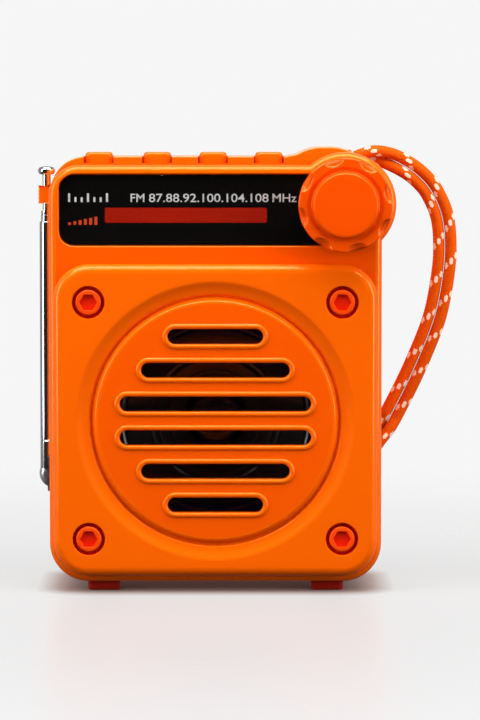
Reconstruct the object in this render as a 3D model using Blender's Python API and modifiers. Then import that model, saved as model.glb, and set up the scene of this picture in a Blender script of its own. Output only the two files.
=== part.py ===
"""Rugged pocket emergency radio, standing on four feet with its front facing -Y.

Moulded front and rear cases with a seal between them, a raised speaker grille, a tuning
display and knob, four keys, a telescopic antenna and a two-strand lanyard.
Metres, +Z up. The origin is under the middle of the radio, on the surface it stands on.
"""
import math

import bmesh
import bpy
from mathutils import Matrix, Vector

MM = 0.001
GAP = 0.3 * MM

# Case
HALF_WIDTH = 55.5 * MM
CASE_BOTTOM = 3.1 * MM
FRONT_TOP = 142.4 * MM
REAR_TOP = 145.2 * MM
FRONT_TOP_RADIUS = 10 * MM
REAR_TOP_RADIUS = 12 * MM
BOTTOM_RADIUS = 13 * MM
FRONT_Y = -19 * MM
FRONT_WALL = 3.5 * MM
SPLIT_Y = -5.8 * MM
SEAL_THICKNESS = 1.0 * MM
BACK_Y = 33 * MM
BACK_WALL = 3.5 * MM
SIDE_WALL = 3 * MM

# Knob corner
KNOB_X = 43 * MM
KNOB_Z = 129.4 * MM
EAR_RADIUS = 17.3 * MM
MOUND_X = 36 * MM
MOUND_Z = 131.3 * MM
MOUND_RADIUS = 17 * MM
MOUND_FOOT_X = 23.5 * MM
KNOB_RADIUS = 15.5 * MM
KNOB_CAP_RADIUS = 10.8 * MM
KNOB_BACK_Y = -19.7 * MM
KNOB_RIM_Y = -31 * MM
KNOB_FRONT_Y = -33 * MM
SHAFT_RADIUS = 2.9 * MM
COLLAR_RADIUS = 4.5 * MM
SCALLOPS = 8
SCALLOP_PHASE = 15

# Display
LENS_HALF = 51.8 * MM
LENS_LOW = 115.9 * MM
LENS_HIGH = 139.2 * MM
LENS_RADIUS = 4.7 * MM
BAR_LEFT = -36.8 * MM
BAR_RIGHT = 17.2 * MM
BAR_LOW = 123.3 * MM
BAR_HIGH = 128.3 * MM

# Grille
GRILLE_WIDTH = 108 * MM
GRILLE_HEIGHT = 104.3 * MM
GRILLE_RADIUS = 12 * MM
GRILLE_Z = 57.5 * MM
GRILLE_FRONT_Y = -23.3 * MM
DISH_RADIUS = 45.8 * MM
DISH_GROOVE = 41.2 * MM
DISH_INNER = 39.3 * MM
SLOT_LENGTHS = [31.8 * MM, 49.5 * MM, 63.8 * MM, 63.8 * MM, 49.5 * MM, 31.8 * MM]
SLOT_PITCH = 11.25 * MM
SLOT_HEIGHT = 5 * MM
SLOT_RIM = 1.7 * MM
GRILLE_SCREW_X = 42.2 * MM
GRILLE_SCREW_DZ = 39.5 * MM
RECESS_RADIUS = 5.4 * MM
HEAD_RADIUS = 4.2 * MM
HEX_RADIUS = 3.0 * MM

# Keys
KEY_XS = [-39.3 * MM, -19.7 * MM, -0.9 * MM, 17.9 * MM]
KEY_Y = 2.5 * MM
KEY_WIDTH = 9.2 * MM
KEY_DEPTH = 10 * MM
KEY_TOP = 146.6 * MM
KEY_NOTCH_Z = 142.9 * MM

# Feet
FOOT_X = 37.4 * MM
FOOT_YS = {"front": -12 * MM, "rear": 24 * MM}

# Antenna, folded up along the left side
ANTENNA_X = -57.7 * MM
ANTENNA_Y = 12 * MM
PIVOT_X = -55.4 * MM
PIVOT_Z = 36.7 * MM
PIVOT_RADIUS = 5.1 * MM

# Lanyard
CORD_RADIUS = 1.9 * MM
CORD_SPREAD = 2.05 * MM
CORD_Y = 14 * MM
CORD_POINTS = 26
CORD_TWIST_TOP = 0.22
CORD_TWIST_SIDE = 0.86
CORD_ROUTE = [
    (47.4, 144.8), (50.6, 145.3), (54.4, 145.4), (58.0, 144.5), (62.0, 142.9), (66.8, 140.1),
    (70.5, 136.9), (73.6, 133.0), (76.6, 126.6), (77.9, 120.4), (78.2, 112.2), (77.6, 105.0),
    (76.3, 96.8), (74.6, 89.6), (71.7, 81.6), (66.6, 69.8), (61.2, 58.9), (58.3, 53.4),
    (56.0, 49.2), (54.5, 45.4),
]

ORANGE = (0.93, 0.13, 0.004)
DEEP_ORANGE = (0.75, 0.07, 0.004)


def empty_scene():
    for obj in list(bpy.data.objects):
        bpy.data.objects.remove(obj)


def new_collection(name):
    collection = bpy.data.collections.new(name)
    bpy.context.scene.collection.children.link(collection)
    return collection


def material(name, colour, roughness, metallic=0.0):
    mat = bpy.data.materials.new(name)
    mat.use_nodes = True
    shader = mat.node_tree.nodes["Principled BSDF"]
    shader.inputs["Base Color"].default_value = (*colour, 1)
    shader.inputs["Roughness"].default_value = roughness
    shader.inputs["Metallic"].default_value = metallic
    return mat


empty_scene()
PARTS = new_collection("emergency_radio")
CUTTERS = new_collection("cutters")
CASE_ORANGE = material("case_orange", ORANGE, 0.28)
SCREW_ORANGE = material("screw_orange", DEEP_ORANGE, 0.35)
CLEAR = material("clear_lens", (0.02, 0.02, 0.02), 0.08)
BLACK = material("black_plastic", (0.01, 0.01, 0.01), 0.4)
RED = material("red_light_guide", (0.3, 0.008, 0.002), 0.3)
RUBBER = material("rubber", (0.02, 0.02, 0.02), 0.8)
FOOT_RED = material("foot_rubber", (0.22, 0.01, 0.004), 0.6)
CHROME = material("chrome", (0.85, 0.85, 0.87), 0.08, 1.0)
STEEL = material("steel", (0.55, 0.55, 0.57), 0.3, 1.0)
BOARD = material("circuit_board", (0.02, 0.12, 0.05), 0.5)
PAPER = material("speaker_cone", (0.015, 0.015, 0.016), 0.7)
CELL = material("battery_wrap", (0.05, 0.12, 0.35), 0.4)
CORD = material("cord", (0.9, 0.14, 0.01), 0.85)


# --- Outlines, as lists of points in a plane ------------------------------------------------

def arc(centre, radius, start, end, steps):
    """Points on an arc, angles in degrees, both ends included."""
    angles = [math.radians(start + (end - start) * i / steps) for i in range(steps + 1)]
    return [(centre[0] + radius * math.cos(a), centre[1] + radius * math.sin(a)) for a in angles]


def circle(centre, radius, steps):
    return arc(centre, radius, 0, 360, steps)[:-1]


def rounded(left, right, low, high, radius, steps=5):
    points = arc((left + radius, low + radius), radius, 180, 270, steps)
    points += arc((right - radius, low + radius), radius, 270, 360, steps)
    points += arc((right - radius, high - radius), radius, 0, 90, steps)
    points += arc((left + radius, high - radius), radius, 90, 180, steps)
    return points


def stadium(centre, length, height, steps=5):
    """A slot with round ends."""
    radius = height / 2
    reach = length / 2 - radius
    points = arc((centre[0] + reach, centre[1]), radius, -90, 90, steps)
    return points + arc((centre[0] - reach, centre[1]), radius, 90, 270, steps)


def front_outline():
    """The front case: a rounded rectangle with a round ear around the knob."""
    reach_x = math.sqrt(EAR_RADIUS**2 - (FRONT_TOP - KNOB_Z)**2)
    reach_z = math.sqrt(EAR_RADIUS**2 - (HALF_WIDTH - KNOB_X)**2)
    low = math.degrees(math.atan2(-reach_z, HALF_WIDTH - KNOB_X))
    high = math.degrees(math.atan2(FRONT_TOP - KNOB_Z, -reach_x))
    edge = HALF_WIDTH - BOTTOM_RADIUS
    points = arc((-edge, CASE_BOTTOM + BOTTOM_RADIUS), BOTTOM_RADIUS, 180, 270, 6)
    points += arc((edge, CASE_BOTTOM + BOTTOM_RADIUS), BOTTOM_RADIUS, 270, 360, 6)
    points += arc((KNOB_X, KNOB_Z), EAR_RADIUS, low, high, 18)
    corner = (-HALF_WIDTH + FRONT_TOP_RADIUS, FRONT_TOP - FRONT_TOP_RADIUS)
    return points + arc(corner, FRONT_TOP_RADIUS, 90, 180, 6)


def rear_outline():
    """The rear case: its top rises in a mound behind the knob."""
    drop = REAR_TOP - MOUND_Z
    start = math.degrees(math.atan2(drop, -math.sqrt(MOUND_RADIUS**2 - drop**2)))
    right = HALF_WIDTH - MOUND_RADIUS
    edge = HALF_WIDTH - BOTTOM_RADIUS
    points = arc((-edge, CASE_BOTTOM + BOTTOM_RADIUS), BOTTOM_RADIUS, 180, 270, 6)
    points += arc((edge, CASE_BOTTOM + BOTTOM_RADIUS), BOTTOM_RADIUS, 270, 360, 6)
    points += arc((right, MOUND_Z), MOUND_RADIUS, 0, 90, 8)
    points += arc((MOUND_X, MOUND_Z), MOUND_RADIUS, 90, start, 4)[1:-1]
    points += [(MOUND_FOOT_X, REAR_TOP)]
    corner = (-HALF_WIDTH + REAR_TOP_RADIUS, REAR_TOP - REAR_TOP_RADIUS)
    return points + arc(corner, REAR_TOP_RADIUS, 90, 180, 6)


# --- Solids ---------------------------------------------------------------------------------

def place(obj, mat):
    """Put a finished piece with the parts, or a cutter with the cutters."""
    if mat is None:
        CUTTERS.objects.link(obj)
        obj.hide_render = True
        obj.display_type = "WIRE"
    else:
        obj.data.materials.append(mat)
        PARTS.objects.link(obj)
    return obj


def from_bmesh(name, bm, mat):
    mesh = bpy.data.meshes.new(name)
    bm.to_mesh(mesh)
    bm.free()
    return place(bpy.data.objects.new(name, mesh), mat)


def box(name, low, high, mat=None):
    low, high = Vector(low), Vector(high)
    bm = bmesh.new()
    scale = Matrix.Diagonal((*(high - low), 1))
    bmesh.ops.create_cube(bm, size=1, matrix=scale)
    obj = from_bmesh(name, bm, mat)
    obj.location = (low + high) / 2
    return obj


def rod(name, radius, start, end, mat=None, sides=16):
    """A cylinder from start to end."""
    start, end = Vector(start), Vector(end)
    bm = bmesh.new()
    bmesh.ops.create_cone(bm, cap_ends=True, segments=sides, radius1=radius, radius2=radius,
                          depth=(end - start).length)
    obj = from_bmesh(name, bm, mat)
    obj.rotation_euler = (end - start).to_track_quat("Z", "Y").to_euler()
    obj.location = (start + end) / 2
    smooth(obj)
    return obj


def smooth(obj, angle=35):
    obj.data.shade_smooth()
    obj.data.set_sharp_from_angle(angle=math.radians(angle))


def to_mesh(obj, name, mat):
    """Replace a curve or a modified object by its welded mesh."""
    bpy.context.scene.collection.objects.link(obj)
    bpy.context.view_layer.update()
    evaluated = obj.evaluated_get(bpy.context.evaluated_depsgraph_get())
    mesh = bpy.data.meshes.new_from_object(evaluated)
    bm = bmesh.new()
    bm.from_mesh(mesh)
    bmesh.ops.remove_doubles(bm, verts=bm.verts, dist=1e-6)
    bm.to_mesh(mesh)
    bm.free()
    world = obj.matrix_world.copy()
    bpy.data.objects.remove(obj)
    mesh.materials.clear()
    solid = bpy.data.objects.new(name, mesh)
    solid.matrix_world = world
    return place(solid, mat)


AXES = {
    "X": Matrix(((0, 0, 1), (1, 0, 0), (0, 1, 0))),
    "Y": Matrix(((1, 0, 0), (0, 0, -1), (0, 1, 0))),
    "Z": Matrix.Identity(3),
}


def slab(name, loops, near, far, mat=None, axis="Y"):
    """A flat outline, with holes where loops lie inside it, between two planes of one axis."""
    curve = bpy.data.curves.new(name, "CURVE")
    curve.dimensions = "2D"
    curve.fill_mode = "BOTH"
    curve.extrude = abs(far - near) / 2
    for loop in loops:
        spline = curve.splines.new("POLY")
        spline.points.add(len(loop) - 1)
        for point, (u, v) in zip(spline.points, loop):
            point.co = (u, v, 0, 1)
        spline.use_cyclic_u = True
    obj = bpy.data.objects.new(name, curve)
    obj.matrix_world = AXES[axis].to_4x4()
    obj.location["XYZ".index(axis)] = (near + far) / 2
    return to_mesh(obj, name, mat)


def turned(name, profile, origin, direction, mat=None, sides=32, closed=False):
    """A turned solid: the profile holds (radius, height) pairs from its top, down the outside."""
    bm = bmesh.new()
    verts = [bm.verts.new((radius, 0, height)) for radius, height in profile]
    for first, second in zip(verts, verts[1:]):
        bm.edges.new((first, second))
    if closed:
        bm.edges.new((verts[-1], verts[0]))
    mesh = bpy.data.meshes.new(name)
    bm.to_mesh(mesh)
    bm.free()
    obj = bpy.data.objects.new(name, mesh)
    screw = obj.modifiers.new("turn", "SCREW")
    screw.steps = sides
    screw.render_steps = sides
    screw.use_merge_vertices = True
    screw.merge_threshold = 1e-5
    obj.rotation_euler = Vector(direction).to_track_quat("Z", "Y").to_euler()
    obj.location = origin
    solid = to_mesh(obj, name, mat)
    smooth(solid)
    return solid


def combine(obj, operation, pieces):
    for piece in pieces:
        modifier = obj.modifiers.new(operation.lower(), "BOOLEAN")
        modifier.operation = operation
        modifier.solver = "EXACT"
        modifier.object = piece
    return obj


def cut(obj, *pieces):
    return combine(obj, "DIFFERENCE", pieces)


def fuse(obj, *pieces):
    return combine(obj, "UNION", pieces)


def round_rim(obj, axis, value, width, segments=2):
    """Bevel the edges that lie in one plane of the object's own axes."""
    mesh = obj.data
    weights = mesh.attributes.new("bevel_weight_edge", "FLOAT", "EDGE")
    for edge in mesh.edges:
        ends = [mesh.vertices[i].co[axis] for i in edge.vertices]
        on_plane = all(abs(end - value) < 1e-6 for end in ends)
        weights.data[edge.index].value = 1.0 if on_plane else 0.0
    bevel = obj.modifiers.new("rim", "BEVEL")
    bevel.limit_method = "WEIGHT"
    bevel.width = width
    bevel.segments = segments
    smooth(obj)
    return obj


def front_rim(obj, depth, width, segments=2):
    """Bevel the -Y rim of a slab made along Y, whose own +Z points to -Y."""
    return round_rim(obj, 2, depth / 2, width, segments)


# --- Case -----------------------------------------------------------------------------------

def foot_pocket(name, x, y):
    return box(name, (x - 5.7 * MM, y - 4.3 * MM, CASE_BOTTOM - MM),
               (x + 5.7 * MM, y + 4.3 * MM, CASE_BOTTOM + 1.3 * MM))


def grille_screw_places():
    return [(side * GRILLE_SCREW_X, GRILLE_Z + level * GRILLE_SCREW_DZ)
            for level in (1, -1) for side in (-1, 1)]


def make_front_case():
    back = SPLIT_Y - SEAL_THICKNESS / 2 - GAP
    case = slab("front_case", [front_outline()], FRONT_Y, back, CASE_ORANGE)
    front_rim(case, back - FRONT_Y, 2 * MM, 3)
    inner = HALF_WIDTH - SIDE_WALL
    hollow = rounded(-inner, inner, CASE_BOTTOM + SIDE_WALL, FRONT_TOP - SIDE_WALL, 9 * MM)
    pocket = rounded(-LENS_HALF - GAP, LENS_HALF + GAP, LENS_LOW - GAP, LENS_HIGH + GAP,
                     LENS_RADIUS + GAP)
    bar_slot = rounded(BAR_LEFT - GAP, BAR_RIGHT + GAP, BAR_LOW - GAP, BAR_HIGH + GAP, 0.8 * MM, 2)
    floor = FRONT_Y + FRONT_WALL
    cut(case,
        slab("front_hollow", [hollow], floor, 0),
        slab("display_pocket", [pocket], FRONT_Y - MM, FRONT_Y + 2.3 * MM),
        slab("bar_opening", [bar_slot], FRONT_Y, floor + MM),
        rod("collar_opening", COLLAR_RADIUS + GAP, (KNOB_X, FRONT_Y, KNOB_Z),
            (KNOB_X, floor + MM, KNOB_Z), sides=24),
        rod("speaker_opening", DISH_GROOVE, (0, FRONT_Y - MM, GRILLE_Z),
            (0, floor + MM, GRILLE_Z), sides=48))
    for number, (x, z) in enumerate(grille_screw_places(), 1):
        cut(case, rod(f"case_thread_{number}", 1.8 * MM, (x, FRONT_Y - MM, z), (x, floor + MM, z)))
    for number, side in enumerate((-1, 1), 1):
        cut(case, foot_pocket(f"front_pocket_{number}", side * FOOT_X, FOOT_YS["front"]))


def make_seal():
    def ring(inset):
        return rounded(-HALF_WIDTH + inset, HALF_WIDTH - inset, CASE_BOTTOM + inset,
                       FRONT_TOP - inset, 11 * MM - inset)
    half = SEAL_THICKNESS / 2
    slab("case_seal", [ring(0.5 * MM), ring(2.4 * MM)], SPLIT_Y - half, SPLIT_Y + half, RUBBER)


def rear_hollow():
    """The inside of the rear case, drawn in where the wall carries the antenna and the cord."""
    inner = HALF_WIDTH - SIDE_WALL
    low, high, radius = CASE_BOTTOM + SIDE_WALL, REAR_TOP - SIDE_WALL, 9 * MM
    points = arc((-inner + radius, low + radius), radius, 180, 270, 5)
    points += arc((inner - radius, low + radius), radius, 270, 360, 5)
    points += [(inner, 31 * MM), (48.5 * MM, 35 * MM), (48.5 * MM, 60 * MM), (inner, 64 * MM)]
    points += arc((inner - 22 * MM, high - 22 * MM), 22 * MM, 0, 90, 6)
    points += arc((-inner + radius, high - radius), radius, 90, 180, 5)
    points += [(-inner, 52 * MM), (-46.5 * MM, 46 * MM), (-46.5 * MM, 26 * MM), (-inner, 20 * MM)]
    return points


def make_rear_case():
    front = SPLIT_Y + SEAL_THICKNESS / 2 + GAP
    case = slab("rear_case", [rear_outline()], front, BACK_Y, CASE_ORANGE)
    round_rim(case, 2, -(BACK_Y - front) / 2, 3.5 * MM, 2)
    inside = BACK_Y - BACK_WALL
    cut(case,
        slab("rear_hollow", [rear_hollow()], front - MM, inside),
        rod("antenna_groove", 2.9 * MM, (ANTENNA_X, ANTENNA_Y, 36 * MM),
            (ANTENNA_X, ANTENNA_Y, 150 * MM)),
        box("pivot_pocket", (-60 * MM, 6.4 * MM, 30 * MM), (-48 * MM, 17.6 * MM, 43.4 * MM)),
        box("clip_pocket", (-60 * MM, 8.2 * MM, 128.7 * MM), (-54 * MM, 15.8 * MM, 135.3 * MM)),
        box("cord_top_pocket", (41 * MM, 9.7 * MM, 141.9 * MM), (60 * MM, 18.3 * MM, 150 * MM)),
        box("cord_side_pocket", (51.2 * MM, 9.5 * MM, 38 * MM), (60 * MM, 18.5 * MM, 57 * MM)),
        slab("battery_opening", [rounded(-34 * MM, 34 * MM, 21 * MM, 69 * MM, 3 * MM, 3)],
             inside - MM, BACK_Y + MM),
        slab("cover_pocket", [rounded(-41 * MM, 41 * MM, 17 * MM, 73 * MM, 5 * MM, 3)],
             BACK_Y - 2 * MM, BACK_Y + MM))
    for number, x in enumerate(KEY_XS, 1):
        half_x, half_y = KEY_WIDTH / 2 + GAP, KEY_DEPTH / 2 + GAP
        loop = rounded(x - half_x, x + half_x, KEY_Y - half_y, KEY_Y + half_y, 2 * MM, 3)
        cut(case, slab(f"key_opening_{number}", [loop], 138 * MM, 150 * MM, axis="Z"))
        wide = half_x + 0.1 * MM
        notch = rounded(x - wide, x + wide, -9 * MM, KEY_Y + half_y + 0.1 * MM, 2.1 * MM, 3)
        cut(case, slab(f"key_notch_{number}", [notch], KEY_NOTCH_Z, 151 * MM, axis="Z"))
    for number, side in enumerate((-1, 1), 1):
        cut(case, foot_pocket(f"rear_pocket_{number}", side * FOOT_X, FOOT_YS["rear"]))
        cut(case, rod(f"cover_thread_{number}", 1.4 * MM, (side * 37.5 * MM, 28 * MM, 45 * MM),
                      (side * 37.5 * MM, BACK_Y + MM, 45 * MM), sides=12))
    for number, (x, z) in enumerate(case_screw_places(), 1):
        fuse(case, rod(f"case_post_{number}", 3.6 * MM, (x, 18 * MM, z), (x, inside + MM, z)))
        cut(case, rod(f"case_hole_{number}", 1.8 * MM, (x, 24 * MM, z), (x, BACK_Y + MM, z)))
        cut(case, rod(f"case_sink_{number}", 3.4 * MM, (x, 31 * MM, z), (x, BACK_Y + MM, z)))


def case_screw_places():
    return [(side * 46 * MM, level) for level in (127 * MM, 14 * MM) for side in (-1, 1)]


def make_feet():
    for row, y in FOOT_YS.items():
        for side, x in (("left", -FOOT_X), ("right", FOOT_X)):
            loop = rounded(x - 5.4 * MM, x + 5.4 * MM, y - 4 * MM, y + 4 * MM, 1.5 * MM, 3)
            slab(f"foot_{row}_{side}", [loop], 0, CASE_BOTTOM + MM, FOOT_RED, axis="Z")


def make_case_screws():
    for number, (x, z) in enumerate(case_screw_places(), 1):
        head = [(0, 1.5 * MM), (2.6 * MM, 1.5 * MM), (3 * MM, 1.1 * MM), (3 * MM, 0)]
        shank = [(1.5 * MM, 0), (1.5 * MM, -4.6 * MM), (0, -5.2 * MM)]
        screw = turned(f"case_screw_{number}", head + shank, (x, 31.3 * MM, z), (0, 1, 0), STEEL, 16)
        cut(screw, rod(f"case_hex_{number}", 1.3 * MM, (x, 31.9 * MM, z), (x, 34 * MM, z), sides=6))


def make_battery_bay():
    cover = slab("battery_cover", [rounded(-40.7 * MM, 40.7 * MM, 17.3 * MM, 72.7 * MM, 4.7 * MM, 3)],
                 31.3 * MM, BACK_Y, CASE_ORANGE)
    for number, side in enumerate((-1, 1), 1):
        x = side * 37.5 * MM
        cut(cover, rod(f"cover_hole_{number}", 1.4 * MM, (x, 30 * MM, 45 * MM), (x, 34 * MM, 45 * MM),
                       sides=12))
        cut(cover, rod(f"cover_sink_{number}", 2.5 * MM, (x, 32.1 * MM, 45 * MM),
                       (x, 34 * MM, 45 * MM)))
        profile = [(0, 0.6 * MM), (2.1 * MM, 0.5 * MM), (2.1 * MM, 0), (1.1 * MM, 0),
                   (1.1 * MM, -2.6 * MM), (0, -2.9 * MM)]
        turned(f"cover_screw_{number}", profile, (x, 32.4 * MM, 45 * MM), (0, 1, 0), STEEL, 12)
    slab("battery_pack", [rounded(-32 * MM, 32 * MM, 23 * MM, 67 * MM, 3 * MM, 3)], 20.2 * MM,
         29.6 * MM, CELL)
    box("battery_socket", (34.5 * MM, 19.2 * MM, 52 * MM), (42 * MM, 25 * MM, 60 * MM), BLACK)


# --- Display and tuning ---------------------------------------------------------------------

def make_display():
    hole = circle((KNOB_X, KNOB_Z), COLLAR_RADIUS + GAP, 24)
    glass = rounded(-LENS_HALF, LENS_HALF, LENS_LOW, LENS_HIGH, LENS_RADIUS)
    slab("display_lens", [glass, hole], FRONT_Y + 0.1 * MM, FRONT_Y + 1.1 * MM, CLEAR)
    dial = rounded(-LENS_HALF, LENS_HALF, LENS_LOW, LENS_HIGH, LENS_RADIUS)
    opening = rounded(BAR_LEFT - GAP, BAR_RIGHT + GAP, BAR_LOW - GAP, BAR_HIGH + GAP, 0.8 * MM, 2)
    slab("dial_plate", [dial, hole, opening], FRONT_Y + 1.4 * MM, FRONT_Y + 2 * MM, BLACK)
    bar = rounded(BAR_LEFT, BAR_RIGHT, BAR_LOW, BAR_HIGH, 0.5 * MM, 2)
    slab("scale_light_bar", [bar], FRONT_Y + 1.4 * MM, FRONT_Y + 5 * MM, RED)
    box("scale_lamp_board", (-40 * MM, -13.7 * MM, 121 * MM), (20 * MM, -12.5 * MM, 130.5 * MM), BOARD)


def make_encoder():
    body = box("tuning_encoder", (KNOB_X - 6 * MM, -15.2 * MM, KNOB_Z - 6 * MM),
               (KNOB_X + 6 * MM, -8.5 * MM, KNOB_Z + 6 * MM), STEEL)
    fuse(body, rod("encoder_collar", COLLAR_RADIUS, (KNOB_X, -14 * MM, KNOB_Z),
                   (KNOB_X, -21.8 * MM, KNOB_Z), sides=24))
    cut(body, rod("encoder_bore", SHAFT_RADIUS + GAP, (KNOB_X, -10.4 * MM, KNOB_Z),
                  (KNOB_X, -25 * MM, KNOB_Z), sides=20))
    nut = rod("encoder_nut", 7 * MM, (KNOB_X, -19.4 * MM, KNOB_Z), (KNOB_X, -21.4 * MM, KNOB_Z),
              STEEL, 6)
    cut(nut, rod("nut_bore", COLLAR_RADIUS + GAP, (KNOB_X, -18 * MM, KNOB_Z),
                 (KNOB_X, -23 * MM, KNOB_Z), sides=24))
    rod("tuning_shaft", SHAFT_RADIUS, (KNOB_X, -10.8 * MM, KNOB_Z), (KNOB_X, -29 * MM, KNOB_Z),
        STEEL, 20)


def make_knob():
    """A round skirt with leaf-shaped finger scallops cut in its front corner."""
    height = KNOB_BACK_Y - KNOB_RIM_Y
    front = KNOB_BACK_Y - KNOB_FRONT_Y
    profile = [
        (0, front), (KNOB_CAP_RADIUS - 0.8 * MM, front - 0.1 * MM), (KNOB_CAP_RADIUS, front - MM),
        (KNOB_CAP_RADIUS + 0.1 * MM, height - 0.8 * MM), (KNOB_CAP_RADIUS + 1.4 * MM, height - 0.6 * MM),
        (KNOB_CAP_RADIUS + 2.2 * MM, height), (KNOB_RADIUS - MM, height - 0.5 * MM),
        (KNOB_RADIUS, height - 2.2 * MM), (KNOB_RADIUS, 0.6 * MM), (KNOB_RADIUS - 0.6 * MM, 0),
        (8 * MM, 0), (8 * MM, 5 * MM), (0, 5 * MM),
    ]
    knob = turned("tuning_knob", profile, (KNOB_X, KNOB_BACK_Y, KNOB_Z), (0, -1, 0), CASE_ORANGE, 48)
    for number in range(SCALLOPS):
        angle = math.radians(SCALLOP_PHASE + 360 / SCALLOPS * number)
        out = Vector((math.cos(angle), 0, math.sin(angle)))
        along = Vector((-math.sin(angle), 0, math.cos(angle)))
        centre = Vector((KNOB_X, KNOB_RIM_Y - 3.2 * MM, KNOB_Z)) + out * (KNOB_RADIUS + 3.2 * MM)
        lean = along * 7 * MM
        cut(knob, rod(f"scallop_{number + 1}", 5.9 * MM, centre - lean, centre + lean, sides=20))
    cut(knob, rod("knob_bore", SHAFT_RADIUS + GAP, (KNOB_X, KNOB_BACK_Y + MM, KNOB_Z),
                  (KNOB_X, -29.4 * MM, KNOB_Z), sides=20))


# --- Grille and speaker ---------------------------------------------------------------------

def make_grille():
    back = FRONT_Y - GAP
    half = GRILLE_WIDTH / 2
    low, high = GRILLE_Z - GRILLE_HEIGHT / 2, GRILLE_Z + GRILLE_HEIGHT / 2
    grille = slab("speaker_grille", [rounded(-half, half, low, high, GRILLE_RADIUS)], GRILLE_FRONT_Y,
                  back, CASE_ORANGE)
    front_rim(grille, back - GRILLE_FRONT_Y, 2.3 * MM, 3)
    dish = [(0, MM), (DISH_RADIUS + 0.9 * MM, MM), (DISH_RADIUS, 0), (DISH_GROOVE + MM, -0.9 * MM),
            (DISH_GROOVE, -1.2 * MM), (DISH_INNER, -0.5 * MM), (0, -0.5 * MM)]
    cut(grille, turned("grille_dish", dish, (0, GRILLE_FRONT_Y, GRILLE_Z), (0, -1, 0), sides=56))
    rims, slots = [], []
    for number, length in enumerate(SLOT_LENGTHS, 1):
        centre = (0, GRILLE_Z + (3.5 - number) * SLOT_PITCH)
        rim = stadium(centre, length + 2 * SLOT_RIM, SLOT_HEIGHT + 2 * SLOT_RIM)
        rims.append(slab(f"slot_rim_{number}", [rim], GRILLE_FRONT_Y - 0.1 * MM, -21.5 * MM))
        hole = stadium(centre, length, SLOT_HEIGHT)
        slots.append(slab(f"slot_{number}", [hole], GRILLE_FRONT_Y - 2 * MM, -18 * MM))
    fuse(grille, *rims)
    cut(grille, *slots)
    for number, (x, z) in enumerate(grille_screw_places(), 1):
        cut(grille, rod(f"screw_recess_{number}", RECESS_RADIUS, (x, -25 * MM, z), (x, -21.5 * MM, z),
                        sides=24))
        cut(grille, rod(f"screw_hole_{number}", 1.8 * MM, (x, -25 * MM, z), (x, -18 * MM, z)))


def make_grille_screws():
    for number, (x, z) in enumerate(grille_screw_places(), 1):
        profile = [(0, 1.6 * MM), (HEAD_RADIUS - 0.4 * MM, 1.6 * MM), (HEAD_RADIUS, 1.2 * MM),
                   (HEAD_RADIUS, 0), (1.5 * MM, 0), (1.5 * MM, -9 * MM), (0, -9.8 * MM)]
        screw = turned(f"grille_screw_{number}", profile, (x, -21.8 * MM, z), (0, -1, 0),
                       SCREW_ORANGE, 24)
        cut(screw, rod(f"grille_hex_{number}", HEX_RADIUS, (x, -22.3 * MM, z), (x, -25 * MM, z),
                       sides=6))


def make_speaker():
    """A small cone speaker behind the grille; profiles run outwards from its own back."""
    centre = (0, 0, GRILLE_Z)
    front = (0, -1, 0)
    frame = [(40.5, 15.2), (40.5, 13.7), (36.5, 13.2), (23, -1.2), (8, -1.2), (8, 0.2), (22, 0.2),
             (35.2, 14.2), (36, 15.2)]
    turned("speaker_frame", [(r * MM, h * MM) for r, h in frame], centre, front, BLACK, 32, True)
    cone = [(0, 9.6), (5, 9), (8.6, 7.2), (9.8, 5.2), (20, 8.6), (29.8, 13), (31.5, 14.8), (33.4, 14),
            (34.3, 13.9), (33, 13.2), (31.5, 13.8), (30.2, 12.2), (20.2, 7.6), (9.8, 4), (0, 4)]
    turned("speaker_cone", [(r * MM, h * MM) for r, h in cone], centre, front, PAPER, 32)
    magnet = [(0, -1.6), (18.5, -1.6), (19.5, -2.6), (19.5, -13), (18.5, -14), (0, -14)]
    turned("speaker_magnet", [(r * MM, h * MM) for r, h in magnet], centre, front, STEEL, 32)


# --- Keys and electronics -------------------------------------------------------------------

def make_keys():
    """Four keys in notches of the top wall; a flange under the wall keeps each one in."""
    under = REAR_TOP - SIDE_WALL
    for number, x in enumerate(KEY_XS, 1):
        half_x, half_y = KEY_WIDTH / 2, KEY_DEPTH / 2
        loop = rounded(x - half_x, x + half_x, KEY_Y - half_y, KEY_Y + half_y, 1.8 * MM, 3)
        low = under - 1.1 * MM
        key = slab(f"key_{number}", [loop], low, KEY_TOP, CASE_ORANGE, axis="Z")
        round_rim(key, 2, (KEY_TOP - low) / 2, 0.8 * MM, 2)
        flange = box(f"key_flange_{number}", (x - half_x - MM, KEY_Y - half_y - MM, under - 1.2 * MM),
                     (x + half_x + MM, KEY_Y + half_y + MM, under - GAP))
        stem = rod(f"key_stem_{number}", 1.8 * MM, (x, KEY_Y, under - 2.2 * MM),
                   (x, KEY_Y, under - MM), sides=12)
        fuse(key, flange, stem)
        switch = box(f"key_switch_{number}", (x - 3 * MM, KEY_Y - 3 * MM, 134.6 * MM),
                     (x + 3 * MM, KEY_Y + 3 * MM, 137.6 * MM), BLACK)
        fuse(switch, rod(f"switch_plunger_{number}", 1.5 * MM, (x, KEY_Y, 137 * MM),
                         (x, KEY_Y, 138.6 * MM), sides=12))
    box("key_board", (-48 * MM, -3.5 * MM, 132.7 * MM), (26 * MM, 8.5 * MM, 134.3 * MM), BOARD)


def make_main_board():
    slab("main_board", [rounded(-44 * MM, 44 * MM, 24 * MM, 126 * MM, 2 * MM, 2)], 16.4 * MM,
         18 * MM, BOARD)
    box("tuner_shield", (-20 * MM, 18.3 * MM, 84 * MM), (14 * MM, 22 * MM, 112 * MM), STEEL)
    rod("ferrite_rod", 4 * MM, (-38 * MM, 22.8 * MM, 119 * MM), (38 * MM, 22.8 * MM, 119 * MM),
        BLACK, 16)


# --- Antenna --------------------------------------------------------------------------------

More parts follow.
